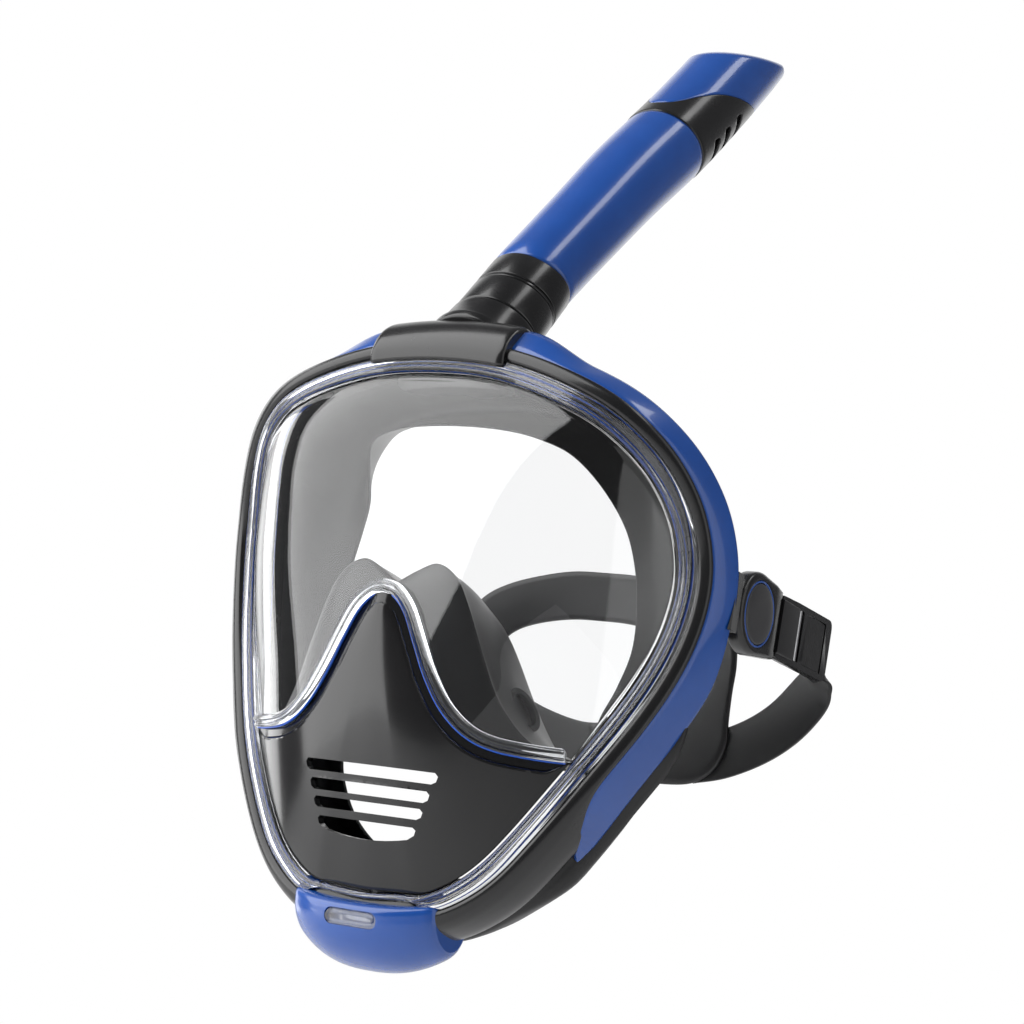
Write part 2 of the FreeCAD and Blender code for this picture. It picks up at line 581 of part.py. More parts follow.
STRAIGHT = g("collar_len")
AX = Part.BSplineCurve()
AX.interpolate(Points=[S0 + D0 * STRAIGHT, V(0, 96.3, 285.1), V(0, 126.0, 311.9), V(0, 161.5, 341.5), V(0, 190.5, 367.5), V(0, 217.4, 392.8), V(0, 232.0, 407.5), V(0, 246.6, 422.2)],
               InitialTangent=D0, FinalTangent=V(0, 0.70, 0.71))
AXL = AX.length() + STRAIGHT


def axis(s):
    if s <= STRAIGHT:
        return S0 + D0 * s, V(D0)
    u = AX.parameterAtDistance(max(1e-6, min(s - STRAIGHT, AX.length() - 1e-6)), AX.FirstParameter)
    return AX.value(u), AX.tangent(u)[0]


def section(s, r):
    p, d = axis(s)
    y = d.cross(V(1, 0, 0))
    m = FreeCAD.Matrix(1, y.x, d.x, p.x, 0, y.y, d.y, p.y, 0, y.z, d.z, p.z, 0, 0, 0, 1)
    c = Part.makeCircle(r)
    c.transformShape(m)
    return Part.Wire([c])


def hose(s0, s1, r0, r1, n=7):
    return Part.makeLoft([section(s0 + (s1 - s0) * k / (n - 1.0), r0 + (r1 - r0) * k / (n - 1.0)) for k in range(n)], True, False)


sA, sB = g("collar_len") + 0.3, 158.2
wall = g("tube_wall")
tube = hose(sA, sB, g("tube_low"), g("tube_high")).cut(hose(sA - 1, sB + 1, g("tube_low") - wall - 0.02, g("tube_high") - wall + 0.02))
feature("snorkel_tube", tube)


def strip(s0, s1, half0, half1, thick, n=7):
    ws = []
    for k in range(n):
        u = k / (n - 1.0)
        p, d = axis(s0 + (s1 - s0) * u)
        nrm = V(0, -d.z, d.y)
        h = half0 + (half1 - half0) * u
        pts = [p + V(-h, 0, 0) - nrm * thick / 2, p + V(h, 0, 0) - nrm * thick / 2, p + V(h, 0, 0) + nrm * thick / 2, p + V(-h, 0, 0) + nrm * thick / 2]
        ws.append(Part.makePolygon(pts + [pts[0]]))
    return Part.makeLoft(ws, True, False)


feature("tube_divider", strip(sA + 8, sB - 2, g("tube_low") - wall - 0.7, g("tube_high") - wall - 0.7, g("divider_thick")))

co, cw = g("cap_out"), g("cap_wall")
# joint line between collar and cap: low at the front of the tube, high at its back
lo_, hi_ = g("cap_low"), g("cap_high")
p0, d0 = axis((lo_ + hi_) / 2)
up0 = V(0, -d0.z, d0.y)
n_ = (d0 + up0 * ((hi_ - lo_) / 2 / co)).normalize()
half = Part.makeBox(400, 400, 200, V(-200, -200, 0))
half.Placement = Placement(p0, Rotation(V(0, 0, 1), n_))
half_up = Part.makeBox(400, 400, 200, V(-200, -200, 0))
half_up.Placement = Placement(p0 + n_ * 0.15, Rotation(V(0, 0, 1), n_))
pt_, dt_ = axis(g("cap_mid"))
top_n = (dt_ + V(0, -dt_.z, dt_.y) * (g("cap_slant") / co)).normalize()
above = Part.makeBox(400, 400, 200, V(-200, -200, 0))
above.Placement = Placement(pt_, Rotation(V(0, 0, 1), top_n))
roof = Part.makeBox(400, 400, 200, V(-200, -200, 0))
roof.Placement = Placement(pt_ - top_n * g("cap_top"), Rotation(V(0, 0, 1), top_n))
vent = hose(sB + 0.15, 240, co - 0.1, co).cut(hose(sB - 1, 241, co - 0.1 - cw, co - cw)).cut(half)
for k, sk_ in enumerate((174.5, 186.0, 197.5)):
    pk, dk = axis(sk_)
    for sx in (-1, 1):
        bb = Part.makeBox(14, g("vent_slot_tall"), g("vent_slot_wide"), V(12, -g("vent_slot_tall") / 2, -g("vent_slot_wide") / 2))
        xa = (V(sx, 0, 0) * 0.883 + V(0, dk.z, -dk.y) * 0.469).normalize()
        ya = dk.cross(xa)
        bb.Placement = Placement(FreeCAD.Matrix(xa.x, ya.x, dk.x, pk.x, xa.y, ya.y, dk.y, pk.y, xa.z, ya.z, dk.z, pk.z, 0, 0, 0, 1))
        vent = vent.cut(bb)
vent = sorted(vent.Solids, key=lambda q: -q.Volume)[0]
feature("vent_collar", vent)
cap = hose(160, AXL - 0.5, co, co - 0.4, 9).common(half_up).cut(above)
cap = cap.cut(hose(156, AXL - 0.6, co - cw, co - 0.4 - cw, 9).cut(roof))
cap = sorted(cap.Solids, key=lambda q: -q.Volume)[0]
feature("top_cap", cap)
pg, dg = axis(188.0 + g("float_len") + g("float_travel") + 0.4)
rev_body("float_gasket", [("gasket_in", 0), ("gasket_out", 0), ("gasket_out", "gasket_thick"), ("gasket_in", "gasket_thick")], Placement(pg, Rotation(V(0, 0, 1), dg)))
dg_ = dg
pf, df = axis(188.0)
FLOAT_AXIS = df
rev_body("float", [("float_bore", 0), ("float_out", 0), ("float_out", "float_len"), ("float_bore", "float_len")], Placement(pf, Rotation(V(0, 0, 1), df)))

# ---------------------------------------------------------------- buckles, both sides
BOSS = V(112, 70, 126)
YAW = math.radians(7.0)
DROP = math.radians(4.5)


def side_frame_placement(sx, x, y, z):
    """Placement at local (x back, y up, z outward) on the boss axis of one side."""
    zl = V(sx * math.cos(YAW), math.sin(YAW), 0)
    w = V(-sx * math.sin(YAW), math.cos(YAW), 0)
    xl = w * math.cos(DROP) + V(0, 0, -math.sin(DROP))
    up = V(0, 0, 1) * math.cos(DROP) + w * math.sin(DROP)
    yl = up if sx > 0 else up * -1
    m = FreeCAD.Matrix(xl.x, yl.x, zl.x, 0, xl.y, yl.y, zl.y, 0, xl.z, yl.z, zl.z, 0, 0, 0, 0, 1)
    rot = Placement(m).Rotation
    o = V(sx * BOSS.x, BOSS.y, BOSS.z) + xl * x + up * y + zl * z
    return Placement(o, rot)


for side_name, sx in (("left", -1), ("right", 1)):
    ht, pt = g("housing_thick"), g("plate_thick")
    # anchor: plate behind the housing, post on it and the lug that meets the frame
    post_z = -ht - 0.4
    plate = Part.makeBox(g("plate_front") + g("plate_back"), g("plate_tall"), pt, V(-g("plate_front"), -g("plate_tall") / 2, post_z - pt))
    post = Part.makeCylinder(g("boss_post"), g("boss_post_len"), V(0, 0, post_z - 0.5))
    lug = Part.makeBox(g("lug_wide"), g("plate_tall"), g("lug_rise"), V(-g("lug_front") - 2.6, -g("plate_tall") / 2, post_z - pt + 0.6))
    anchor = plate.fuse(post).fuse(lug)
    pl = side_frame_placement(sx, 0, 0, 0)
    world = anchor.copy()
    world.transformShape(pl.toMatrix())
    world = world.cut(side).cut(bezel).cut(skirt)
    world = sorted(world.Solids, key=lambda q: -q.Volume)[0]
    feature("anchor_boss_" + side_name, world)
    # housing: disc with a wing towards the strap, pocket for the button, bore on the post
    hs = Part.makeCylinder(g("housing_out"), ht, V(0, 0, -ht))
    wing = Part.makePolygon([V(4, -13, 0), V(g("wing_back"), -13.4, 0), V(g("wing_back"), 13.4, 0), V(4, 13, 0), V(4, -13, 0)])
    wing = Part.Face(wing).extrude(V(0, 0, g("wing_thick")))
    wing.translate(V(0, 0, -ht + g("wing_low")))
    hs = hs.fuse(wing)
    hs = hs.cut(Part.makeCylinder(g("button_pocket") + 0.8, g("pocket_depth") + 1, V(0, 0, -g("pocket_depth"))))
    hs = hs.cut(Part.makeCylinder(g("housing_bore"), ht + 2, V(0, 0, -ht - 1)))
    # slot that the glide plate's tongue enters
    hs = hs.cut(Part.makeBox(6, 18.4, 2.4, V(g("wing_back") - 5.6, -9.2, -ht + g("wing_low") + 1.1)))
    feature("buckle_housing_" + side_name, hs, pl)
    rev_body("button_ring_" + side_name, [("ring_in", 0), ("ring_out", 0), ("ring_out", "ring_thick"), ("ring_in", "ring_thick")],
             side_frame_placement(sx, 0, 0, -g("ring_thick")))
    rev_body("buckle_button_" + side_name, [(0, 0), ("button_out", 0), ("button_out", "button_thick"), (0, ["button_thick", "button_crown"])],
             side_frame_placement(sx, 0, 0, -g("button_thick") + 0.2))
    rev_body("button_spring_" + side_name, [("spring_in", 0), ("spring_out", 0), ("spring_out", "spring_len"), ("spring_in", "spring_len")],
             side_frame_placement(sx, 0, 0, -g("pocket_depth") + 0.01))
    # glide frame behind the wing: plate with a tongue, a bar slot and a strap window
    gx = g("wing_back") + 0.25
    zb = -ht + g("wing_low") + 0.3
    gl = Part.makeBox(g("glide_len"), g("glide_tall"), g("glide_thick"), V(gx, -g("glide_tall") / 2, zb))
    gl = gl.makeFillet(3.0, [e for e in gl.Edges if e.BoundBox.ZLength > 3 and e.BoundBox.XMin > gx + 10])
    gl = gl.fuse(Part.makeBox(6.2, 17.6, 2.0, V(gx - 5.55, -8.8, -ht + g("wing_low") + 1.3)))
    for at, wide in (("slot_at", "slot_wide"), ("window_at", "window_wide")):
        gl = gl.cut(Part.makeBox(g(wide), g("glide_win_tall"), 30, V(g(at), -g("glide_win_tall") / 2, -20)))
    bx, bz = g("slot_at") + g("slot_wide") / 2, zb + g("glide_thick") / 2
    gl = gl.cut(Part.makeCylinder(g("bar_out"), g("bar_len"), V(bx, -g("bar_len") / 2, bz), V(0, 1, 0)))
    feature("glide_frame_" + side_name, gl, pl)
    bar = rev_body("glide_bar_" + side_name, [(0, 0), ("bar_out", 0), ("bar_out", "bar_len"), (0, "bar_len")], None)
    bp = side_frame_placement(sx, bx, 0, bz)
    bar.Placement = Placement(BASE, Rotation()).multiply(bp).multiply(Placement(V(0, g("bar_len") / 2, 0), Rotation(V(1, 0, 0), 90)))
    # strap end held in the glide: flat run under it and the ribbed part in its window
    tl = Part.makeBox(g("tail_len"), g("tail_tall"), g("tail_thick"), V(g("window_at") + g("window_wide") + 3.6 - g("tail_len"), -g("tail_tall") / 2, zb - 0.15 - g("tail_thick")))
    tl = tl.fuse(Part.makeBox(g("window_wide") - 0.8, g("glide_win_tall") - 0.8, g("pad_rise"), V(g("window_at") + 0.4, -g("glide_win_tall") / 2 + 0.4, zb - 0.3)))
    feature("strap_tail_" + side_name, tl, pl)

# ---------------------------------------------------------------- head strap
PATH = [(-103, 147.0), (-85, 151.5), (-58, 154.5), (-30, 156), (0, 156.5), (30, 156), (58, 154.5), (85, 151.5), (103, 147.0)]
k2 = g("strap_thick") / 2
f_ = Part.BSplineCurve()
f_.interpolate(Points=[V(x, y - k2, 40) for x, y in PATH])
b_ = Part.BSplineCurve()
b_.interpolate(Points=[V(x, y + k2, 40) for x, y in PATH])
e1, e2 = f_.toShape(), b_.toShape()
w = Part.Wire([e1, Part.makeLine(e1.valueAt(e1.LastParameter), e2.valueAt(e2.LastParameter)), e2, Part.makeLine(e2.valueAt(e2.FirstParameter), e1.valueAt(e1.FirstParameter))])
slab = Part.Face(w).extrude(V(0, 0, 130))
STRAP = [(0, 146), (30, 146), (52, 143), (58, 134), (58.5, 110), (58, 88), (62, 84), (75, 87), (92, 100), (103, 114), (103, 95), (92, 81), (75, 70), (58, 62), (40, 60.6), (0, 61)]
body_ = prism([(x, z) for x, z in STRAP] + [(-x, z) for x, z in STRAP[-2:0:-1]], 120, 180, False)
HOLE = [(0, 124), (30, 124), (42, 122), (45, 116), (43.5, 107), (38, 98.5), (30, 93), (21, 89.2), (10, 85.6), (0, 84.2)]
hole = prism([(x, z) for x, z in HOLE] + [(-x, z) for x, z in HOLE[-2:0:-1]], 110, 190, True)
strap = slab.common(body_).cut(hole)
feature("head_strap", strap)

doc.recompute()
bad = []
for o in doc.Objects:
    if "Invalid" in o.State or "Error" in o.State:
        bad.append("%s state %s" % (o.Label, o.State))
for o in SUBPARTS:
    sh = o.Shape
    if sh.isNull() or not sh.isValid():
        bad.append("%s shape null or not valid" % o.Label)
    elif len(sh.Solids) != 1:
        bad.append("%s has %d solids" % (o.Label, len(sh.Solids)))
    elif sh.Volume <= 0:
        bad.append("%s volume %.3f" % (o.Label, sh.Volume))
for o in SUBPARTS:
    bb = o.Shape.optimalBoundingBox()
    print("%-22s vol %9.1f  x %.1f..%.1f y %.1f..%.1f z %.1f..%.1f" % (o.Label, o.Shape.Volume, bb.XMin, bb.XMax, bb.YMin, bb.YMax, bb.ZMin, bb.ZMax))
if bad:
    raise RuntimeError("; ".join(bad))
for o in SUBPARTS:
    o.Shape.exportStep("parts/%s.step" % o.Label)
print("float axis %.6f %.6f %.6f" % (FLOAT_AXIS.x, FLOAT_AXIS.y, FLOAT_AXIS.z))
print("sub-parts", len(SUBPARTS))
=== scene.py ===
import bpy, bmesh, json, math
import numpy as np
from mathutils import Matrix, Vector

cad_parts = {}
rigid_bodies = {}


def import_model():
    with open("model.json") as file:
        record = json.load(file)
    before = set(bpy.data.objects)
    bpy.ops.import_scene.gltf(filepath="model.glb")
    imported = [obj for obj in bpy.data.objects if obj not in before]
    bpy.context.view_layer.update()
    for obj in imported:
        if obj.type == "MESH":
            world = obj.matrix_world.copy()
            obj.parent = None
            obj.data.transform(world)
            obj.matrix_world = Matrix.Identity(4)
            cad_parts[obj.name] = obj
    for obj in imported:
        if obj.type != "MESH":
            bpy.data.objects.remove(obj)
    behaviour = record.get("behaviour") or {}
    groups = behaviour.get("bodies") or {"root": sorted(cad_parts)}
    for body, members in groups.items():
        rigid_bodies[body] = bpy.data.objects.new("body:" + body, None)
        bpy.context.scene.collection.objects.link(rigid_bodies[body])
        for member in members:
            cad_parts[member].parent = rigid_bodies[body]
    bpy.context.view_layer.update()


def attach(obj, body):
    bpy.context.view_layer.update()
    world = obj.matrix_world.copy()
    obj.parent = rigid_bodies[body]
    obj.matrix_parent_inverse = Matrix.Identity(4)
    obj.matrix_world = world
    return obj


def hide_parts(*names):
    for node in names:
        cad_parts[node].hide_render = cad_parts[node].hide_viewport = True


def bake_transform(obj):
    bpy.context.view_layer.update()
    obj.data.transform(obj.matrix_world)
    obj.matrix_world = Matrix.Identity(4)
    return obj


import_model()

OY, OZ = 60.0, 103.0          # drawing frame (chin of the lens rim) to the row's origin, mm


# ------------------------------------------------------------------ materials
def nodes_of(mat):
    mat.use_nodes = True
    nt = mat.node_tree
    nt.nodes.clear()
    out = nt.nodes.new("ShaderNodeOutputMaterial")
    bsdf = nt.nodes.new("ShaderNodeBsdfPrincipled")
    nt.links.new(bsdf.outputs[0], out.inputs[0])
    return nt, bsdf


def moulded(name, c0, c1, r0, r1, scale=60.0, bump=0.03, grain=1800.0, coat=0.0, coat_r=0.05, spec=0.5, cscale=None):
    """Moulded plastic or silicone: uneven tone and gloss, fine grain in the relief."""
    mat = bpy.data.materials.new(name)
    nt, b = nodes_of(mat)
    tc = nt.nodes.new("ShaderNodeTexCoord")
    n1 = nt.nodes.new("ShaderNodeTexNoise")
    n1.inputs["Scale"].default_value = cscale or scale
    n1.inputs["Detail"].default_value = 4
    nt.links.new(tc.outputs["Object"], n1.inputs["Vector"])
    ramp = nt.nodes.new("ShaderNodeValToRGB")
    ramp.color_ramp.elements[0].position = 0.3
    ramp.color_ramp.elements[0].color = (*c0, 1)
    ramp.color_ramp.elements[1].position = 0.72
    ramp.color_ramp.elements[1].color = (*c1, 1)
    nt.links.new(n1.outputs["Fac"], ramp.inputs["Fac"])
    nt.links.new(ramp.outputs["Color"], b.inputs["Base Color"])
    n2 = nt.nodes.new("ShaderNodeTexNoise")
    n2.inputs["Scale"].default_value = scale * 2.3
    n2.inputs["Detail"].default_value = 3
    nt.links.new(tc.outputs["Object"], n2.inputs["Vector"])
    mr = nt.nodes.new("ShaderNodeMapRange")
    mr.inputs["To Min"].default_value = r0
    mr.inputs["To Max"].default_value = r1
    nt.links.new(n2.outputs["Fac"], mr.inputs["Value"])
    nt.links.new(mr.outputs["Result"], b.inputs["Roughness"])
    n3 = nt.nodes.new("ShaderNodeTexNoise")
    n3.inputs["Scale"].default_value = grain
    n3.inputs["Detail"].default_value = 2
    nt.links.new(tc.outputs["Object"], n3.inputs["Vector"])
    bp = nt.nodes.new("ShaderNodeBump")
    bp.inputs["Strength"].default_value = bump
    bp.inputs["Distance"].default_value = 0.0004
    nt.links.new(n3.outputs["Fac"], bp.inputs["Height"])
    nt.links.new(bp.outputs["Normal"], b.inputs["Normal"])
    b.inputs["Specular IOR Level"].default_value = spec
    b.inputs["Coat Weight"].default_value = coat
    b.inputs["Coat Roughness"].default_value = coat_r
    return mat


def clear(name, tint0, tint1, r0, r1, ior):
    mat = bpy.data.materials.new(name)
    nt, b = nodes_of(mat)
    tc = nt.nodes.new("ShaderNodeTexCoord")
    n1 = nt.nodes.new("ShaderNodeTexNoise")
    n1.inputs["Scale"].default_value = 25
    nt.links.new(tc.outputs["Object"], n1.inputs["Vector"])
    ramp = nt.nodes.new("ShaderNodeValToRGB")
    ramp.color_ramp.elements[0].color = (*tint0, 1)
    ramp.color_ramp.elements[1].color = (*tint1, 1)
    nt.links.new(n1.outputs["Fac"], ramp.inputs["Fac"])
    nt.links.new(ramp.outputs["Color"], b.inputs["Base Color"])
    mr = nt.nodes.new("ShaderNodeMapRange")
    mr.inputs["To Min"].default_value = r0
    mr.inputs["To Max"].default_value = r1
    nt.links.new(n1.outputs["Fac"], mr.inputs["Value"])
    nt.links.new(mr.outputs["Result"], b.inputs["Roughness"])
    b.inputs["IOR"].default_value = ior
    b.inputs["Transmission Weight"].default_value = 1.0
    return mat


M_LENS = clear("m_lens", (0.965, 0.972, 0.978), (0.985, 0.988, 0.99), 0.0, 0.02, 1.46)
M_RIM = clear("m_lens_rim", (0.93, 0.95, 0.985), (0.97, 0.98, 0.995), 0.01, 0.05, 1.55)
M_WINDOW = clear("m_window", (0.86, 0.89, 0.93), (0.93, 0.95, 0.97), 0.05, 0.12, 1.5)
M_BLUE = moulded("m_blue", (0.005, 0.066, 0.33), (0.007, 0.078, 0.375), 0.20, 0.27, 40, 0.02, 2600, 0.6, 0.06)
# painted reflection: a brighter blue that stands in for the blue frame refracted through the clear rim and the bell
# ridge
M_PAINTED_REFRACTION = moulded("m_painted_blue_refraction", (0.010, 0.10, 0.60), (0.014, 0.12, 0.70), 0.3, 0.4, 40, 0.03, 2600)
M_BLACK = moulded("m_black", (0.0040, 0.0040, 0.0044), (0.0065, 0.0065, 0.0070), 0.22, 0.30, 45, 0.02, 2400, 0.25, 0.10)
M_NOSE = moulded("m_nose", (0.0045, 0.0045, 0.0048), (0.0070, 0.0070, 0.0074), 0.13, 0.19, 35, 0.012, 2400, 0.2, 0.08)
M_SKIRT = moulded("m_skirt", (0.0060, 0.0060, 0.0064), (0.0095, 0.0095, 0.0100), 0.36, 0.46, 30, 0.02, 2600, 0, 0.3)
M_CUP = moulded("m_cup", (0.0075, 0.0075, 0.0080), (0.012, 0.012, 0.0125), 0.3, 0.42, 30, 0.02, 2600, 0, 0.3)
M_STRAP = moulded("m_strap", (0.0070, 0.0070, 0.0075), (0.011, 0.011, 0.0118), 0.34, 0.44, 50, 0.03, 2600, 0, 0.3)
M_RIBBED = moulded("m_ribbed", (0.009, 0.009, 0.010), (0.018, 0.018, 0.019), 0.42, 0.55, 200, 0.06, 2600, 0, 0.3)
M_BUTTON = moulded("m_button", (0.036, 0.036, 0.038), (0.052, 0.052, 0.054), 0.34, 0.42, 60, 0.04, 2600, 0, 0.3)
M_SEAM = moulded("m_seam", (0.13, 0.085, 0.045), (0.20, 0.135, 0.075), 0.35, 0.5, 90, 0.05, 1500)
M_FLOAT = moulded("m_float", (0.62, 0.61, 0.58), (0.72, 0.71, 0.69), 0.45, 0.6, 80, 0.15, 900)
M_STEEL = moulded("m_steel", (0.45, 0.45, 0.46), (0.6, 0.6, 0.61), 0.22, 0.38, 300, 0.05, 1500)
for _m in (M_STEEL,):
    _m.node_tree.nodes["Principled BSDF"].inputs["Metallic"].default_value = 1.0

# ------------------------------------------------------------------ mesh helpers
def mm(P):
    P = np.asarray(P, float)
    return (P - np.array([0, OY, OZ])) / 1000.0


def signed_volume(V, F):
    v = 0.0
    for f in F:
        a = V[f[0]]
        for k in range(1, len(f) - 1):
            v += np.dot(a, np.cross(V[f[k]], V[f[k + 1]]))
    return v / 6


def make(name, V, F, mat, body, sharp=None, flip_check=True):
    """V in drawing millimetres."""
    W = mm(V)
    F = [tuple(f) for f in F]
    if flip_check and signed_volume(W - W.mean(0), F) < 0:
        F = [f[::-1] for f in F]
    me = bpy.data.meshes.new(name)
    me.from_pydata([tuple(p) for p in W], [], F)
    me.validate()
    me.update()
    for p in me.polygons:
        p.use_smooth = True
    if sharp:
        me.set_sharp_from_angle(angle=math.radians(sharp))
    me.materials.append(mat)
    ob = bpy.data.objects.new(name, me)
    bpy.context.scene.collection.objects.link(ob)
    if body:
        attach(ob, body)
    return ob


def grid_faces(n, m, cu, cv):
    F = []
    for i in range(n if cu else n - 1):
        for j in range(m if cv else m - 1):
            a = i * m + j
            b = i * m + (j + 1) % m
            c = ((i + 1) % n) * m + (j + 1) % m
            d = ((i + 1) % n) * m + j
            F.append((a, b, c, d))
    return F


def grid(name, R, mat, body, cu=False, cv=True, cap0=False, cap1=False, sharp=None):
    """R[n][m][3]: n stations of m section points."""
    R = np.asarray(R, float)
    n, m = R.shape[:2]
    F = grid_faces(n, m, cu, cv)
    if cap0:
        F.append(tuple(range(m)))
    if cap1:
        F.append(tuple((n - 1) * m + j for j in range(m))[::-1])
    return make(name, R.reshape(-1, 3), F, mat, body, sharp)


def round_poly(pts, r, seg=4, closed=True):
    """Polygon with every corner rounded; r is one radius or one per corner."""
    P = np.asarray(pts, float)
    n = len(P)
    rs = r if hasattr(r, "__len__") else [r] * n
    out = []
    for i in range(n):
        if not closed and i in (0, n - 1):
            out += [P[i]] * 1
            continue
        a, b, c = P[i - 1], P[i], P[(i + 1) % n]
        u, v = a - b, c - b
        lu, lv = np.linalg.norm(u), np.linalg.norm(v)
        k = min(rs[i], 0.48 * lu, 0.48 * lv)
        p0, p1 = b + u / lu * k, b + v / lv * k
        for q in range(seg + 1):
            s = q / seg
            out.append((1 - s) ** 2 * p0 + 2 * s * (1 - s) * b + s * s * p1)
    return np.array(out)


def catmull(P, k, closed=False):
    P = np.asarray(P, float)
    n = len(P)
    out = []
    for i in range(n if closed else n - 1):
        if closed:
            p0, p1, p2, p3 = P[(i - 1) % n], P[i], P[(i + 1) % n], P[(i + 2) % n]
        else:
            p1, p2 = P[i], P[i + 1]
            p0 = P[i - 1] if i > 0 else 2 * p1 - p2
            p3 = P[i + 2] if i + 2 < n else 2 * p2 - p1
        for q in range(k):
            s = q / k
            out.append(0.5 * (2 * p1 + (p2 - p0) * s + (2 * p0 - 5 * p1 + 4 * p2 - p3) * s * s + (3 * p1 - p0 - 3 * p2 + p3) * s ** 3))
    if not closed:
        out.append(P[-1])
    return np.array(out)


def smooth(e0, e1, v):
    u = np.clip((v - e0) / float(e1 - e0), 0, 1)
    return u * u * (3 - 2 * u)


def bevel(ob, w, seg=2, angle=30):
    m = ob.modifiers.new("bevel", "BEVEL")
    m.width = w / 1000.0
    m.segments = seg
    m.limit_method = "ANGLE"
    m.angle_limit = math.radians(angle)
    m.harden_normals = False


def apply_mods(ob):
    dg = bpy.context.evaluated_depsgraph_get()
    me = bpy.data.meshes.new_from_object(ob.evaluated_get(dg))
    old = ob.data
    ob.modifiers.clear()
    ob.data = me
    bpy.data.meshes.remove(old)


def cut(ob, cutters, sharp=32, bev=0.0, seg=2):
    for c in cutters:
        m = ob.modifiers.new("cut", "BOOLEAN")
        m.operation = "DIFFERENCE"
        m.solver = "EXACT"
        m.object = c
    apply_mods(ob)
    if bev:
        bevel(ob, bev, seg)
        apply_mods(ob)
    for c in cutters:
        me = c.data
        bpy.data.objects.remove(c)
        bpy.data.meshes.remove(me)
    for p in ob.data.polygons:
        p.use_smooth = True
    ob.data.set_sharp_from_angle(angle=math.radians(sharp))


# ------------------------------------------------------------------ rim curve
RIM = [(0, -0.6, 207.2), (28, -0.9, 205.0), (55, 0.2, 197.4), (71.8, 4, 189.9), (82.4, 9.5, 182.1),
       (89.5, 15.4, 174.4), (94.5, 21.1, 166.3), (98.6, 26.8, 156.0), (101.0, 31.2, 144), (101.7, 33.3, 132.4),
       (99.6, 33.1, 114.5), (94.5, 29.6, 96.4), (87.1, 24, 78.7), (78.3, 17.2, 61.1), (68.8, 11.6, 44),
       (58.1, 7.2, 27), (45.5, 3.6, 11.5), (30.5, 0.3, 1.6), (24, -0.8, 1.0), (18.5, -1.4, 3.4), (0, -2.2, 2.0)]
PLAIN = RIM[:17] + [(32.0, 0.9, 1.6), (23, -0.3, -2.0), (13.0, -1.3, -3.6), (0, -2.0, -4.2)]


def closed_pts(pts):
    h = [np.array(p, float) for p in pts]
    return np.array(h + [p * np.array([-1, 1, 1]) for p in h[-2:0:-1]])


class Loop:
    """Periodic cubic spline on given knots."""
    def __init__(self, pts, knots):
        self.p = closed_pts(pts)
        n = len(self.p)
        self.t = np.array(knots)
        self.T = self.t[-1]
        h = np.diff(self.t)
        A = np.zeros((n, n))
        r = np.zeros((n, 3))
        for i in range(n):
            hm, hp = h[i - 1], h[i]
            A[i, i - 1] += hm
            A[i, i] += 2 * (hm + hp)
            A[i, (i + 1) % n] += hp
            r[i] = 6 * ((self.p[(i + 1) % n] - self.p[i]) / hp - (self.p[i] - self.p[i - 1]) / hm)
        self.m = np.linalg.solve(A, r)
        self.h = h
        self.n = n

    def at(self, t):
        t = t % self.T
        i = min(int(np.searchsorted(self.t, t, side="right")) - 1, self.n - 1)
        h = self.h[i]
        u = t - self.t[i]
        v = h - u
        a, b = self.p[i], self.p[(i + 1) % self.n]
        ma, mb = self.m[i], self.m[(i + 1) % self.n]
        P = ma * v ** 3 / (6 * h) + mb * u ** 3 / (6 * h) + (a / h - ma * h / 6) * v + (b / h - mb * h / 6) * u
        D = -ma * v * v / (2 * h) + mb * u * u / (2 * h) - (a / h - ma * h / 6) + (b / h - mb * h / 6)
        n = np.array([-D[2], 0, D[0]])
        return P, n / np.linalg.norm(n)


_c = closed_pts(PLAIN)
KN = [0.0]
for i in range(len(_c)):
    KN.append(KN[-1] + np.linalg.norm(_c[(i + 1) % len(_c)] - _c[i]) ** 0.75)
TOT = KN[-1]
STEPPED, SMOOTH = Loop(RIM, KN), Loop(PLAIN, KN)


def rim(t, a, b):
    p0, n0 = STEPPED.at(t)
    p1, n1 = SMOOTH.at(t)
    w = float(smooth(0.1, 5.0, abs(a)))
    if a < 0:
        w *= 0.75
    p = p0 * (1 - w) + p1 * w
    n = n0 * (1 - w) + n1 * w
    n /= np.linalg.norm(n)
    return p + n * a + np.array([0, b, 0])


def chin_w(t):
    return 1 - float(smooth(33, 60, SMOOTH.at(t)[0][2]))


NS = 300
TS = [TOT * k / NS for k in range(NS)]


def rim_sweep(name, prof, mat, body="mask", ts=None, closed=True, sharp=None):
    """prof(t) -> list of (a, b)."""
    rows = []
    for t in (ts if ts is not None else TS):
        rows.append([rim(t, a, b) for a, b in prof(t)])
    return grid(name, rows, mat, body, cu=closed, cv=True, cap0=not closed, cap1=not closed, sharp=sharp)


# ------------------------------------------------------------------ lens dome
CZ = 110.0
RW = 7.0
_tab = []
for k in range(720):
    q = rim(TOT * k / 720.0, -RW + 0.5, 0)
    _tab.append((math.atan2(q[2] - CZ, q[0]), math.hypot(q[0], q[2] - CZ), q[1]))
_tab.sort()
_th = np.array([a[0] for a in _tab])
_R = np.array([a[1] for a in _tab])
_Y = np.array([a[2] for a in _tab])


def dome(x, z):
    x = np.asarray(x, float)
    z = np.asarray(z, float)
    r = np.hypot(x, z - CZ)
    th = np.arctan2(z - CZ, x)
    R = np.interp(th, _th, _R, period=2 * math.pi)
    y = np.interp(th, _th, _Y, period=2 * math.pi)
    rho = np.minimum(r / R, 1.1)
    n = 3.2 + 0.85 * np.sin(th)
    return -17.0 + (y - 1.0 + 17.0) * rho ** n


def dome_normal(x, z):
    e = 0.4
    dx = (dome(x + e, z) - dome(x - e, z)) / (2 * e)
    dz = (dome(x, z + e) - dome(x, z - e)) / (2 * e)
    n = np.stack([dx, -np.ones_like(dx), dz], -1)      # points forward, -Y
    return n / np.linalg.norm(n, axis=-1, keepdims=True)


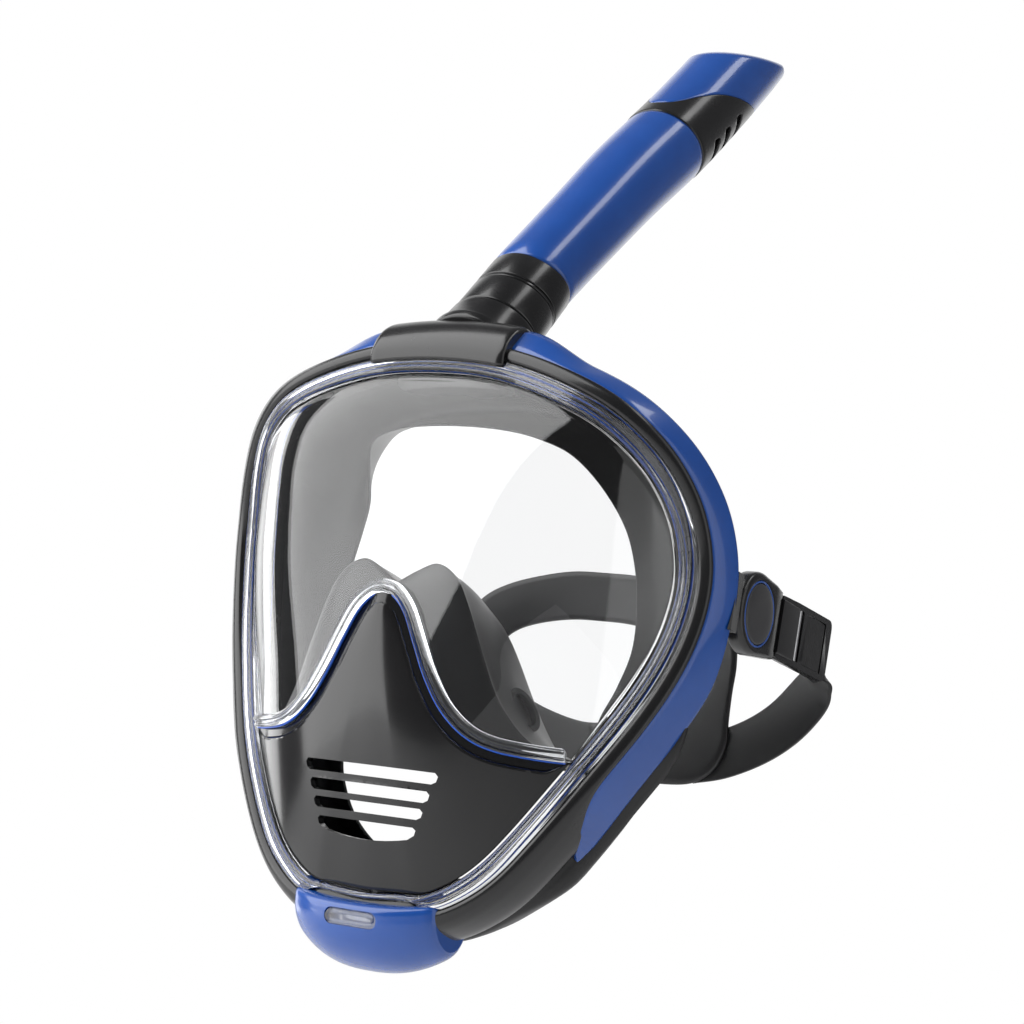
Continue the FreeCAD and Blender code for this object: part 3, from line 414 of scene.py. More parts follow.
BELL = [(0, 114.2), (5, 112.8), (10.5, 107), (16, 96), (21.5, 84.5), (28.5, 73.5), (37, 65.6), (46.6, 61.6), (60, 60.4), (71.4, 60.6)]


def resample(P, n, closed=False):
    P = np.asarray(P, float)
    Q = np.vstack([P, P[:1]]) if closed else P
    d = np.concatenate([[0], np.cumsum(np.linalg.norm(np.diff(Q, axis=0), axis=1))])
    s = np.linspace(0, d[-1], n + 1)[:-1] if closed else np.linspace(0, d[-1], n)
    return np.stack([np.interp(s, d, Q[:, i]) for i in range(P.shape[1])], 1)


_bell_r = catmull(BELL, 14)
bell_line = np.vstack([_bell_r[:0:-1] * np.array([-1, 1]), _bell_r])     # left corner to right corner


def rim_xz(a, z_above=None, z_below=None, n=700):
    """The whole offset rim as (x, z), ordered clockwise from the top."""
    pts = []
    for k in range(n):
        q = rim(TOT * k / n, a, 0)
        pts.append((q[0], q[2]))
    return np.array(pts)


def arc_between(a, lower, n):
    """Offset rim from the right bell corner, the upper or lower way round, to the left one."""
    P = rim_xz(a)
    zc = bell_line[-1][1]
    if lower:
        i0 = next(i for i in range(len(P)) if P[i][0] > 0 and P[i][1] <= zc)
        i1 = max(i for i in range(len(P)) if P[i][0] < 0 and P[i][1] <= zc)
        Q = P[i0:i1 + 1]
    else:
        i0 = max(i for i in range(len(P)) if P[i][0] > 0 and P[i][1] > zc)
        i1 = next(i for i in range(len(P)) if P[i][0] < 0 and P[i][1] > zc)
        Q = np.vstack([P[i0::-1], P[:i1 - 1:-1]])
    Q = np.vstack([bell_line[-1:], Q, bell_line[:1]])
    return resample(Q, n)


def sm_normals(C, turn):
    T = np.gradient(C, axis=0)
    T /= np.linalg.norm(T, axis=1, keepdims=True)
    N = np.stack([T[:, 1], -T[:, 0]], 1) * turn
    return N


def ruled(name, B, T, b_rows, t_rows, fade, mat, nv=46, thick=2.6, front=0.0, lift=None, turn=1, body="mask"):
    """Closed shell on the dome between two curves with shared ends. Rows (offset inwards from the
    curve, height over the dome) shape both edges; fade lowers the b rows to plain ones near the ends."""
    NB = sm_normals(B, turn)
    NT = sm_normals(T, -turn)
    n = len(B)
    k = np.minimum(np.arange(n), np.arange(n)[::-1]) / float(n)
    f = smooth(0.0, fade, k)

    def place(xz, h):
        x, z = xz[:, 0], xz[:, 1]
        nn = dome_normal(x, z)
        P = np.stack([x, dome(x, z) + front, z], 1)
        if lift is not None:
            P[:, 1] -= lift(x, z)
        return P + nn * (np.asarray(h)[:, None] if np.ndim(h) else h)
    rows = []
    for off, h in b_rows:                       # inner skin to outer skin along B
        h0 = -thick if h < -0.5 * thick else 0.0
        rows.append(place(B + NB * (off * f)[:, None], h * f + h0 * (1 - f)))
    ob, ot = b_rows[-1][0], t_rows[0][0]
    B1 = B + NB * (ob * f)[:, None]
    T1 = T + NT * (ot * f)[:, None]
    for i in range(1, nv):
        rows.append(place(B1 + (T1 - B1) * (i / nv), 0.0))
    for off, h in t_rows:                       # outer skin to inner skin along T
        rows.append(place(T + NT * (off * f)[:, None], h))
    ob, ot = b_rows[0][0], t_rows[-1][0]
    B2 = B + NB * (ob * f)[:, None]
    T2 = T + NT * (ot * f)[:, None]
    for i in range(nv - 1, 0, -1):
        rows.append(place(B2 + (T2 - B2) * (i / nv), -thick))
    R = np.swapaxes(np.array(rows), 0, 1)[1:-1]
    return grid(name, R, mat, body, cu=False, cv=True, cap0=True, cap1=True)


NBL = 260
# spread the samples evenly along the bell, from its left corner to its right one
bell_rs = resample(bell_line, NBL)
lens_top = arc_between(-RW - 0.15, False, NBL)[::-1]          # left corner, over the top, right corner
# clear dome over the face, its lower edge thickened into a ridge along the bell line
LB = [(0.9, -2.6), (0.2, -2.4), (0.0, -1.4), (0.0, -0.5), (0.25, -0.1), (0.8, 0.0)]
LT = [(0.5, 0.0), (0.1, -0.2), (0.0, -1.2), (0.1, -2.4), (0.5, -2.6)]
lens = ruled("lens_dome", bell_rs, lens_top, LB, LT, 0.07, M_LENS, turn=-1)


# clear ridge along the bell line, with a blue strip under it: a painted reflection of the blue frame refracted through
# the ridge
def bell_sweep(name, prof, mat, ends=0.02):
    k = np.minimum(np.arange(NBL), np.arange(NBL)[::-1]) / float(NBL)
    f = 0.25 + 0.75 * smooth(0.0, ends, k)
    NB = sm_normals(bell_rs, -1)
    rws = []
    for i in range(4, NBL - 4):
        row = []
        for off, h in prof:
            q = bell_rs[i] + NB[i] * (off * f[i])
            n_ = dome_normal(np.array(q[0]), np.array(q[1]))
            row.append(np.array([q[0], float(dome(q[0], q[1])), q[1]]) + n_ * (h * (f[i] if h > 0.1 else 1.0)))
        rws.append(row)
    return grid(name, rws, mat, "mask", cap0=True, cap1=True)


ridge = bell_sweep("bell_ridge", round_poly([(-0.3, 0.06), (-0.3, 1.3), (0.5, 2.3), (1.2, 1.5), (1.9, 1.55), (2.6, 2.5), (3.7, 2.2), (4.5, 1.0), (4.8, 0.06)], [0.1, 0.5, 0.5, 0.3, 0.3, 0.6, 0.7, 0.5, 0.2], 3), M_RIM)
# blue strip under the ridge: painted reflection of the blue frame, not a part of the mask
bell_bead = bell_sweep("bell_bead", round_poly([(-0.9, -0.6), (-0.9, 0.35), (-0.4, 0.35), (-0.4, -0.6)], 0.12, 2), M_PAINTED_REFRACTION)
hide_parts("lens")

# thick clear rim all round
def rim_prof(t):
    P = [(-7, -1.0), (-6.3, -2.3), (-4.9, -2.6), (-4.1, -1.6), (-2.9, -1.5), (-1.9, -2.2), (-0.5, -1.6), (-0.05, 0.4), (-0.05, 6.4), (-3.4, 6.6), (-7, 6.4)]
    return round_poly(P, [0.5, 0.6, 0.6, 0.5, 0.5, 0.7, 0.7, 0.6, 0.6, 0.1, 0.6], 3)


lens_rim = rim_sweep("lens_rim", rim_prof, M_RIM)
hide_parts("lens")
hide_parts("lens")

# ------------------------------------------------------------------ nose cover
chin_line = arc_between(-RW - 0.25, True, NBL)[::-1]          # left corner, round the chin, right corner


def nose_lift(x, z):
    wide = 6.0 + 0.36 * np.clip(112 - z, 0, 90)
    return np.exp(-(x / wide) ** 2) * smooth(36, 100, z) * 2.6


NBR = [(0.9, -3.6), (0.4, -3.3), (0.3, -1.8), (0.45, -1.35), (0.8, -1.2), (3.4, -1.2), (4.0, -1.05), (4.4, -0.5), (4.9, -0.08), (5.5, 0.0)]
NTR = [(0.5, 0.0), (0.15, -0.2), (0.05, -1.5), (0.1, -3.3), (0.5, -3.6)]
nose = ruled("nose_cover_shell", bell_rs, chin_line, NBR, NTR, 0.05, M_NOSE, thick=3.6, front=0.2, lift=nose_lift, turn=1)
VENTS = [(29.3, 48.1, 4.0), (26.5, 41.1, 4.0), (24.2, 34.6, 3.8), (21.8, 27.8, 3.8)]
cutters = []
for vi, (half, z, tall) in enumerate(VENTS):
    r_ = tall / 2
    top = [(x, z + r_ + (0.25 if vi < 3 else 0.0)) for x in np.linspace(-half + 1.4, half - 1.4, 13)]
    ends_r = [(half - 0.3, z + r_ * 0.5), (half - 0.9, z - r_ * 0.5)]
    if vi < 3:
        bot = [(x, z - r_) for x in np.linspace(half - 2.6, -half + 2.6, 13)]
    else:
        bot = [(x, z - r_ - 2.8 * (1 - (x / half) ** 2)) for x in np.linspace(half - 3.4, -half + 3.4, 13)]
    ends_l = [(-half + 0.9, z - r_ * 0.5), (-half + 0.3, z + r_ * 0.5)]
    sec = np.array(top + ends_r + bot + ends_l)
    rows = [[(x, y, zz) for x, zz in sec] for y in (-40, 30)]
    cutters.append(grid("cutter_v%d" % vi, rows, M_NOSE, None, cap0=True, cap1=True))
cut(nose, cutters, 38, 0.55, 3)
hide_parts("nose_cover")

# ------------------------------------------------------------------ bezel and side frame
BZ0 = round_poly([(0.1, 7.0), (0.1, -0.4), (1.5, -1.5), (3.9, -1.1), (5.75, 0.5), (5.6, 2.6), (5.2, 9), (5.2, 15.2), (4.4, 16.5), (-6, 16.5), (-6, 7.0)],
                 [0.2, 0.5, 1.0, 1.6, 1.4, 1, 1, 0.8, 0.8, 0.8, 0.6], 4)
BZ1 = round_poly([(0.1, 7.0), (0.1, -0.4), (1.7, -1.5), (4.4, -0.7), (6.6, 3.0), (8.2, 8.5), (9.3, 14), (9.2, 19), (6.6, 22.6), (2.0, 23.4), (-6, 20.0)],
                 [0.2, 0.5, 1.0, 2.0, 2.2, 2, 2.5, 2.8, 2.0, 1.0, 0.6], 4)
bezel = rim_sweep("bezel_ring", lambda t: BZ0 * (1 - chin_w(t)) + BZ1 * chin_w(t), M_BLACK)
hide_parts("bezel_frame")

TIP = next(TOT * k / 4000.0 for k in range(800, 2000) if SMOOTH.at(TOT * k / 4000.0)[0][2] <= 30.8)


def band_edges(t):
    z = SMOOTH.at(t)[0][2]
    back = 14.6 + 7.6 * (1 - float(smooth(92, 124, z))) + 2.2 * (1 - float(smooth(34, 70, z)))
    u = max(0.0, (55.0 - z) / 24.0)
    front = 1.5 + 18.8 * u ** 1.6
    return z, front, back


def flare(b, back):
    return 5.2 + 5.4 * (max(b - 1.5, 0.0) / (back - 1.5)) ** 0.82


def frame_prof(t):
    z, bf, bb = band_edges(t)
    xx = abs(SMOOTH.at(t)[0][0])
    ear = 4.6 * (1 - float(smooth(29, 56, xx))) if z > 150 else 0.0
    k = max(0.0, min(1.0, (z - 30.8) / 9.0))
    e = math.sqrt(max(0.0, 1 - (1 - k) ** 2))
    mid = 0.5 * (bf + bb)
    half = max(0.6, 0.5 * (bb - bf)) * (0.06 + 0.94 * e)
    b0, b1 = mid - half, mid + half
    pts = []
    for q in np.linspace(0, 1, 15):
        b = b0 + (b1 - b0) * q
        edge = min(1.0, min(q, 1 - q) * (b1 - b0) / 1.1)
        pts.append((flare(b, bb) + ear * min(1.0, q * 1.6) - 0.9 * (1 - math.sqrt(max(0, 1 - (1 - edge) ** 2))) + 0.35, b))
    pts.append((flare(b1, bb) - 2.4, b1))
    pts.append((flare(mid, bb) - 2.2, mid))
    pts.append((flare(b0, bb) - 1.6, b0))
    return pts


fts = list(np.linspace(-TIP, -TIP * 0.96, 16)[:-1]) + list(np.linspace(-TIP * 0.96, TIP * 0.96, 240)) + list(np.linspace(TIP * 0.96, TIP, 16)[1:])
side = rim_sweep("side_frame_band", lambda t: frame_prof(t % TOT), M_BLUE, ts=fts, closed=False)
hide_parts("side_frame")


# thin bronze parting line between bezel and side frame
def seam_prof(t):
    z, bf, bb = band_edges(t)
    a_ = flare(bf, bb) + 0.12
    return round_poly([(a_ - 1.2, bf - 0.75), (a_ - 0.12, bf - 0.7), (a_ + 0.1, bf + 0.25), (a_ - 1.2, bf + 0.3)], 0.12, 2)


seam = rim_sweep("parting_seam", lambda t: seam_prof(t % TOT), M_SEAM, ts=list(np.linspace(-TIP * 0.93, TIP * 0.93, 240)), closed=False)


# blue strips in the clear rim: a painted reflection of the blue frame refracted through the rim
for tag, a0, b0 in (("outer", -0.75, 6.75), ("inner", -6.1, 6.75)):
    refraction_strip = rim_sweep("rim_bead_" + tag, lambda t, a0=a0, b0=b0: round_poly([(a0 - 0.6, b0 - 0.05), (a0 + 0.6, b0 - 0.05), (a0 + 0.6, b0 + 0.6), (a0 - 0.6, b0 + 0.6)], 0.15, 2), M_PAINTED_REFRACTION)

# ------------------------------------------------------------------ skirt
OPEN = [(0, 183.8, 22), (20, 182.8, 22), (34, 180.4, 24), (44.5, 176.5, 30), (51.5, 168.5, 41), (57, 157, 53), (61.5, 145, 57.5), (65.5, 128, 58.5), (67, 108, 57.5), (63, 92, 56.5), (57, 78, 56.5),
        (56, 62, 56.5), (54, 46, 56.5), (44, 29, 56.5), (26, 17, 56.5), (0, 12, 56.5)]
_o = catmull(np.array([(x, y, z) for x, z, y in OPEN] + [(-x, y, z) for x, z, y in OPEN[-2:0:-1]], float), 12, True)
_oth = np.arctan2(_o[:, 2] - 103, _o[:, 0])
_orad = np.hypot(_o[:, 0], _o[:, 2] - 103)
_oi = np.argsort(_oth)
_oth, _orad, _oy = _oth[_oi], _orad[_oi], _o[:, 1][_oi]


def skirt_rows(t):
    w = chin_w(t)
    back = 16.5 + 3.5 * w - 0.6
    zz = SMOOTH.at(t)[0][2]
    wl = 1 - float(smooth(74, 104, zz))
    q0 = rim(t, 3.9 + 3.4 * wl, back + 2.0 * wl)
    th = math.atan2(q0[2] - 103, q0[0])
    ro = float(np.interp(th, _oth, _orad, period=2 * math.pi))
    yo = float(np.interp(th, _oth, _oy, period=2 * math.pi))
    rr = math.hypot(q0[0], q0[2] - 103)
    u = np.array([math.cos(th), 0, math.sin(th)])
    c = np.array([0, 0, 103.0])
    k = 2.2
    out2 = ro + min(16.0, 0.62 * (rr - ro))
    lip = 56.5 - yo

    def at(r, y):
        return c + u * r + np.array([0, y, 0])
    y0 = q0[1]
    m0 = at(ro + (rr - ro) * 0.93, y0 + (60 - y0) * 0.42)
    bul = 13.0 - 4.5 * (1 - float(smooth(6, 26, zz)))
    m1 = rim(t, bul, 27.5)
    M = m0 * (1 - wl) + m1 * wl
    M[1] = min(M[1], 47.0)
    mr = math.hypot(M[0], M[2] - 103)
    y1 = M[1]
    mu = np.array([M[0], 0, M[2] - 103]) / mr

    def am(r, y):
        return c + mu * r + np.array([0, y, 0])
    P = [at(rr, y0), at(rr - 0.1, y0 + 1.0), am(mr, y1), at(out2 + (mr - out2) * 0.5, y1 + (60 - y1) * 0.72), at(out2 - 1, 59.8), at(ro + 0.5 * (out2 - ro), 58.9 - 0.35 * lip),
         at(ro + 1.2, 57.0 - 0.94 * lip), at(ro, 56.0 - lip), at(ro + 0.3, 54.7 - lip), at(ro + 1.4, 54.8 - 0.94 * lip), at(ro + 0.5 * (out2 - ro), 56.6 - 0.35 * lip), at(out2 - k * 0.9, 57.0),
         at(out2 + (mr - out2) * 0.5 - k, y1 + (60 - y1) * 0.66), am(mr - k, y1), at(rr - k, y0 + 1.0), at(rr - k, y0)]
    return catmull(P, 3, True)


skirt = grid("face_skirt", [skirt_rows(t) for t in TS], M_SKIRT, "mask", cu=True, cv=True)
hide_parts("skirt")

# ------------------------------------------------------------------ inner cup
CF = [(0, 118.6), (8, 123.4), (16, 126), (24, 121.5), (30, 111.5), (37, 94), (44, 78), (54, 66), (66, 61.5)]
CB = [(0, 46, 106), (8, 43, 111), (15, 42, 112.5), (21, 43, 106), (26, 45, 97), (32, 47, 85), (38, 49, 74), (44, 50.5, 65), (49, 51.5, 59)]
BELLC = [(0, 114.2), (5, 112.8), (10.5, 107), (13.2, 101.6), (16, 96), (21.5, 84.5), (28.5, 73.5), (37, 65.6), (50, 61.3)]
edge_c = np.array([(x * 0.93, float(dome(x, z)) + 4.4, z - 1.2) for x, z in BELLC])
front = np.array([(x, float(dome(x, z)) + 2.6 + 6.0, z) for x, z in CF])
near = edge_c * 0.55 + front * 0.45 + np.array([0, -1.2, 0.6])
back = np.array(CB, float)
crest = front + np.array([0, 4.5, -0.2])
mid = front * 0.52 + back * 0.48 + np.array([0, 0, 2.4])
midb = front * 0.2 + back * 0.8 + np.array([0, 0, 1.2])


def full(P):
    P = catmull(P, 8)
    return np.vstack([P[:0:-1] * np.array([-1, 1, 1]), P])


curves = [full(q) for q in (edge_c, near, front, crest, mid, midb, back)]
S_ = catmull(np.array(curves), 6)
T_ = S_ + np.array([0, 1.6, -1.6])
ring_rows = [np.vstack([S_[:, j], T_[::-1, j]]) for j in range(S_.shape[1])]
cup = grid("inner_cup", ring_rows, M_CUP, "mask", cu=False, cv=True, cap0=True, cap1=True, sharp=50)
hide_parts("oronasal_cup")

# ------------------------------------------------------------------ chin clip
CLIP = np.array([(-9.2, -0.6), (-10.4, -6), (-8.4, -13), (-3, -19.5), (4, -23.6), (11, -24.8), (18, -23), (23, -18), (25, -11), (24, -3), (16, 0.2), (3, 0.9)], float)
cl = catmull(CLIP, 8, True)


def clip_section(x):
    u = abs(x) / 31.0
    s_ = 1 - 0.28 * u ** 2.6
    dy = 3.4 * u ** 2.4
    dz = 5.0 * u ** 2.4
    e = 1.0
    if u > 0.9:
        e = math.sqrt(max(0.0, 1 - ((u - 0.9) / 0.1) ** 2)) * 0.12 + 0.88
    c = np.array([8.0, -8.0])
    P = c + (cl - c) * s_ * e
    return [(x, p[0] + dy, p[1] + dz) for p in P]


xs = np.concatenate([np.linspace(-31, -27.9, 8), np.linspace(-27.2, 27.2, 41), np.linspace(27.9, 31, 8)])
clip = grid("chin_clip_shell", [clip_section(x) for x in xs], M_BLUE, "mask", cap0=True, cap1=True, sharp=40)


def stadium(name, half, r, y0, y1, zc, mat, body=None, grow=0.0, n=14, drop=0.0):
    pts = []
    for k in range(n + 1):
        a = math.pi / 2 - math.pi * k / n
        pts.append((half - r + (r + grow) * math.cos(a), (r + grow) * math.sin(a)))
    for k in range(n + 1):
        a = -math.pi / 2 - math.pi * k / n
        pts.append((-(half - r) + (r + grow) * math.cos(a), (r + grow) * math.sin(a)))
    return pts


slot = stadium("s", 11.3, 3.1, 0, 0, 0, None)
slot_cut = grid("cutter_slot", [[(x, y, zz - 5.8) for x, zz in slot] for y in (-30, -7.2)], M_BLACK, None, cap0=True, cap1=True)
cut(clip, [slot_cut], 35, 0.7, 3)
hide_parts("chin_clip")
win = stadium("w", 11.1, 2.9, 0, 0, 0, None)
wr = []
for y, k in [(-7.3, 1.0), (-9.5, 1.0), (-9.9, 0.93), (-10.0, 0.8), (-10.0, 0.35)]:
    wr.append([(x - math.copysign((1 - k) * 2.9, x), y, zz * k - 5.8) for x, zz in win])
window = grid("chin_window_lens", wr, M_WINDOW, "mask", cap0=True, cap1=True, sharp=50)
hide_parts("chin_window")

# ------------------------------------------------------------------ top cover and socket
D0 = np.array([0, 0.690, 0.724])
D0 /= np.linalg.norm(D0)
S0 = np.array([0, 38.9, 229.7])
TC = round_poly([(-3.2, 204.3), (-5.6, 204.6), (-6.0, 209), (-3.6, 214.6), (1.0, 219.6), (6, 222.4), (11, 223.6), (15.4, 222.8), (36.4, 202.6), (34.6, 199.0), (20, 198.6), (17, 214), (10, 217), (0, 212), (-2.6, 207)],
                [0.6, 1.2, 2.5, 3, 3, 2.5, 2.5, 2.5, 1.5, 1.5, 1, 1, 1, 1, 0.8], 4)
_tc_c = TC.mean(0)


def cover_section(x):
    u = abs(x) / 29.5
    drop = 2.1 * u ** 2
    e = 0.0
    if abs(x) > 26.5:
        e = 1 - math.sqrt(max(0.0, 1 - ((abs(x) - 26.5) / 3.0) ** 2))
    P = TC + (np.array([6.0, 212.0]) - TC) * e * 0.12
    return [(x, p[0] + 0.5 * u ** 2, p[1] - drop) for p in P]


xs = np.concatenate([np.linspace(-29.5, -26.5, 9), np.linspace(-25.5, 25.5, 35), np.linspace(26.5, 29.5, 9)])
cover = grid("top_cover_bar", [cover_section(x) for x in xs], M_BLACK, "mask", cap0=True, cap1=True, sharp=45)
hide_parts("top_cover")

# axis of the breathing tube
AXP = np.array([(0, 96.3, 285.1), (0, 126.0, 311.9), (0, 161.5, 341.5), (0, 190.5, 367.5), (0, 217.4, 392.8), (0, 232.0, 407.5), (0, 246.6, 422.2), (0, 256.0, 431.6)], float)
STRAIGHT = 33.4
_pts = [S0 - D0 * 30, S0 - D0 * 10, S0 + D0 * 10, S0 + D0 * STRAIGHT * 0.75, S0 + D0 * STRAIGHT] + list(AXP)
_ax = catmull(np.array(_pts), 24)
_d = np.concatenate([[0], np.cumsum(np.linalg.norm(np.diff(_ax, axis=0), axis=1))]) - 30.0


def axis(s):
    p = np.array([0, np.interp(s, _d, _ax[:, 1]), np.interp(s, _d, _ax[:, 2])])
    q = np.array([0, np.interp(s + 2.5, _d, _ax[:, 1]), np.interp(s + 2.5, _d, _ax[:, 2])])
    r = np.array([0, np.interp(s - 2.5, _d, _ax[:, 1]), np.interp(s - 2.5, _d, _ax[:, 2])])
    d = q - r
    d /= np.linalg.norm(d)
    return p, d


SEG = 112
PHI = np.arange(SEG) * 2 * math.pi / SEG


def axis_row(s, r):
    """s, r: numbers or one value per angle; angle 0 is the upper front of the tube."""
    s = np.broadcast_to(np.asarray(s, float), (SEG,))
    s = s - (5.2 + 3.8 * np.cos(PHI)) * smooth(-24, -8, s) * (1 - smooth(34, 100, s))
    r = np.broadcast_to(np.asarray(r, float), (SEG,))
    out = []
    for k in range(SEG):
        p, d = axis(s[k])
        up = np.array([0, -d[2], d[1]])
        out.append(p + (up * math.cos(PHI[k]) + np.array([1, 0, 0]) * math.sin(PHI[k])) * r[k])
    return out


def lathe(name, prof, mat, body, sharp=None, closed=True):
    """prof: (s, r) corner list of a closed ring section round the axis."""
    return grid(name, [axis_row(s, r) for s, r in prof], mat, body, cu=closed, cv=True, sharp=sharp)


sock = lathe("socket_tube", round_poly([(-26, 13.3), (-26, 19.8), (-20.5, 19.6), (-18, 18.5), (-2, 17.9), (-0.1, 17.6), (-0.1, 13.3)], [0.3, 1.5, 2, 2, 1, 0.8, 0.5], 4), M_BLACK, "mask", 50)
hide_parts("snorkel_socket")
col = lathe("collar_body", round_poly([(-20, 10.6), (-20, 13.2), (0.3, 13.2), (0.3, 17.5), (16.2, 17.35), (16.4, 16.2), (18.4, 16.2), (18.6, 17.35), (33.3, 17.25), (33.5, 14.0), (38, 13.8), (38, 10.6)],
                                        [0.3, 0.4, 0.2, 0.9, 0.5, 0.1, 0.1, 0.5, 0.6, 0.2, 0.3, 0.3], 3), M_BLACK, "snorkel", 50)
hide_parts("snorkel_collar")
trim = lathe("collar_trim", round_poly([(16.7, 16.0), (16.7, 17.2), (18.1, 17.2), (18.1, 16.0)], 0.4, 3), M_NOSE, "snorkel", 50)
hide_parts("collar_ring")
prof = [(33.9, 14.6), (33.9, 16.2), (34.3, 16.75), (35.2, 16.95)]
LOW = 158.6 - 3.6 * np.cos(PHI)
rows = [axis_row(s, r) for s, r in prof]
for u in np.linspace(0.03, 0.99, 44):
    s = 35.2 + (LOW - 0.9 - 35.2) * u
    rows.append(axis_row(s, 16.95 + (19.05 - 16.95) * smooth(34, 165, s)))
rows += [axis_row(LOW - 0.45, 18.95), axis_row(LOW - 0.15, 18.6), axis_row(LOW - 0.15, 16.8)]
for u in np.linspace(0.97, 0.05, 12):
    s = 34 + (LOW - 34) * u
    rows.append(axis_row(s, 14.7 + 2.0 * (s - 34) / 131))
tube = grid("tube_shell", rows, M_BLUE, "snorkel", cu=True, cv=True, sharp=50)
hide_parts("snorkel_tube")


_jt = catmull(np.array([(-15, 166.0), (0, 164.0), (15, 165.6), (27, 171), (38, 179), (55, 190.5), (73, 200), (97, 210.5), (138, 226), (180, 232.5), (195, 232)], float), 12)
_ja, _js = _jt[:, 0], _jt[:, 1]


def joint_line(phi):
    a = np.degrees(np.abs((phi + np.pi) % (2 * np.pi) - np.pi))
    return np.interp(a, _ja, _js)


def top_line(r):
    c = np.cos(PHI)
    c = np.where(c < -0.3, -0.3 + 0.58 * (c + 0.3), c)
    return 249.0 - 28.0 * (r / 19.3) * c + 3.2 * (1 - (r / 19.3) ** 2)


JL = joint_line(PHI)
CO = 19.3
rows = [axis_row(LOW + 0.15, 16.9), axis_row(LOW + 0.15, 18.8), axis_row(LOW + 0.5, 19.2), axis_row(LOW + 1.3, CO + 0.05)]
for u in np.linspace(0.04, 0.985, 26):
    rows.append(axis_row(LOW + 1.3 + (JL - 0.5 - LOW - 1.3) * u, CO + 0.05))
rows += [axis_row(JL - 0.45, CO), axis_row(JL - 0.15, CO - 0.35), axis_row(JL - 0.12, 16.9)]
for u in np.linspace(0.95, 0.05, 8):
    rows.append(axis_row(LOW + 0.4 + (JL - 0.2 - LOW - 0.4) * u, 16.9))
vent = grid("vent_collar_shell", rows, M_BLACK, "snorkel", cu=True, cv=True, sharp=50)
cutters = []
for k, sk_ in enumerate((175.0, 187.0, 200.0)):
    p, d = axis(sk_)
    for sx in (-1, 1):
        xa = np.array([sx * 0.883, 0.469 * d[2], -0.469 * d[1]])
        xa /= np.linalg.norm(xa)
        ya = np.cross(d, xa)
        sec = round_poly([(-6.6, -3.1), (5.6, -3.1), (6.6, 3.1), (-5.6, 3.1)], 1.3, 4)
        rws = [[p + xa * h + ya * a + d * b for a, b in sec] for h in (14.0, 26.0)]
        cutters.append(grid("cutter_s%d%d" % (k, sx + 1), rws, M_BLACK, None, cap0=True, cap1=True))
cut(vent, cutters, 35, 0.45, 2)
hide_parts("vent_collar")
rows = [axis_row(JL + 0.12, 16.9), axis_row(JL + 0.12, CO - 0.45), axis_row(JL + 0.35, CO - 0.1), axis_row(JL + 0.9, CO)]
TL = top_line(CO)
for u in np.linspace(0.06, 0.90, 22):
    rows.append(axis_row(JL + 0.9 + (TL - 5.0 - JL - 0.9) * u, CO))
for a in np.linspace(0, math.pi / 2, 9):
    rr = CO - 4.0 * (1 - math.cos(a))
    rows.append(axis_row(top_line(rr) - 4.0 * (1 - math.sin(a)) * 1.05, rr))
for f in (0.7, 0.5, 0.3, 0.12):
    rr = (CO - 4.0) * f
    rows.append(axis_row(top_line(rr), rr))
rows.append(axis_row(top_line(0.01), 0.02))
rows.append(axis_row(top_line(0.01) - 3.6, 0.02))
rows.append(axis_row(top_line(16.5) - 4.2, 16.5))
for u in np.linspace(0.9, 0.05, 8):
    rows.append(axis_row(JL + (TL - 6.0 - JL) * u, 16.9))
cap = grid("cap_shell", rows, M_BLUE, "snorkel", cu=True, cv=True, sharp=60)
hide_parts("top_cap")

# ------------------------------------------------------------------ buckles
YAW, DROP = math.radians(-1.5), math.radians(4.5)
BOSS = np.array([112, 70, 126.0])


def local(sx):
    zl = np.array([sx * math.cos(YAW), math.sin(YAW), 0])
    w = np.array([-sx * math.sin(YAW), math.cos(YAW), 0])
    xl = w * math.cos(DROP) + np.array([0, 0, -math.sin(DROP)])
    up = np.array([0, 0, 1]) * math.cos(DROP) + w * math.sin(DROP)
    o = np.array([sx * BOSS[0], BOSS[1], BOSS[2]])
    return lambda x, y, z: o + xl * x + up * y + zl * z


def housing_radius(phi):
    """Outline of the housing face: disc of 16 with a tapered wing back to x = 21."""
    c, s_ = math.cos(phi), math.sin(phi)
    r = 16.0
    best = r
    # wing edge x = 21 between y = -13.5 and 13.5, joined to the disc by straight flanks
    if c > 0:
        e = 21.0 / c
        if abs(e * s_) <= 13.5:
            return max(best, e)
        # flank from (21, 13.5) to the tangent point on the disc at about (1.5, 15.93)
        x1, y1, x2, y2 = 21.0, 13.5, 3.0, 15.72
        s2 = abs(s_)
        # ray (c, s2) * e crosses the flank line
        dx, dy = x2 - x1, y2 - y1
        den = c * dy - s2 * dx
        e = (x1 * dy - y1 * dx) / den
        if e * c >= x2:
            return max(best, e)
    return best


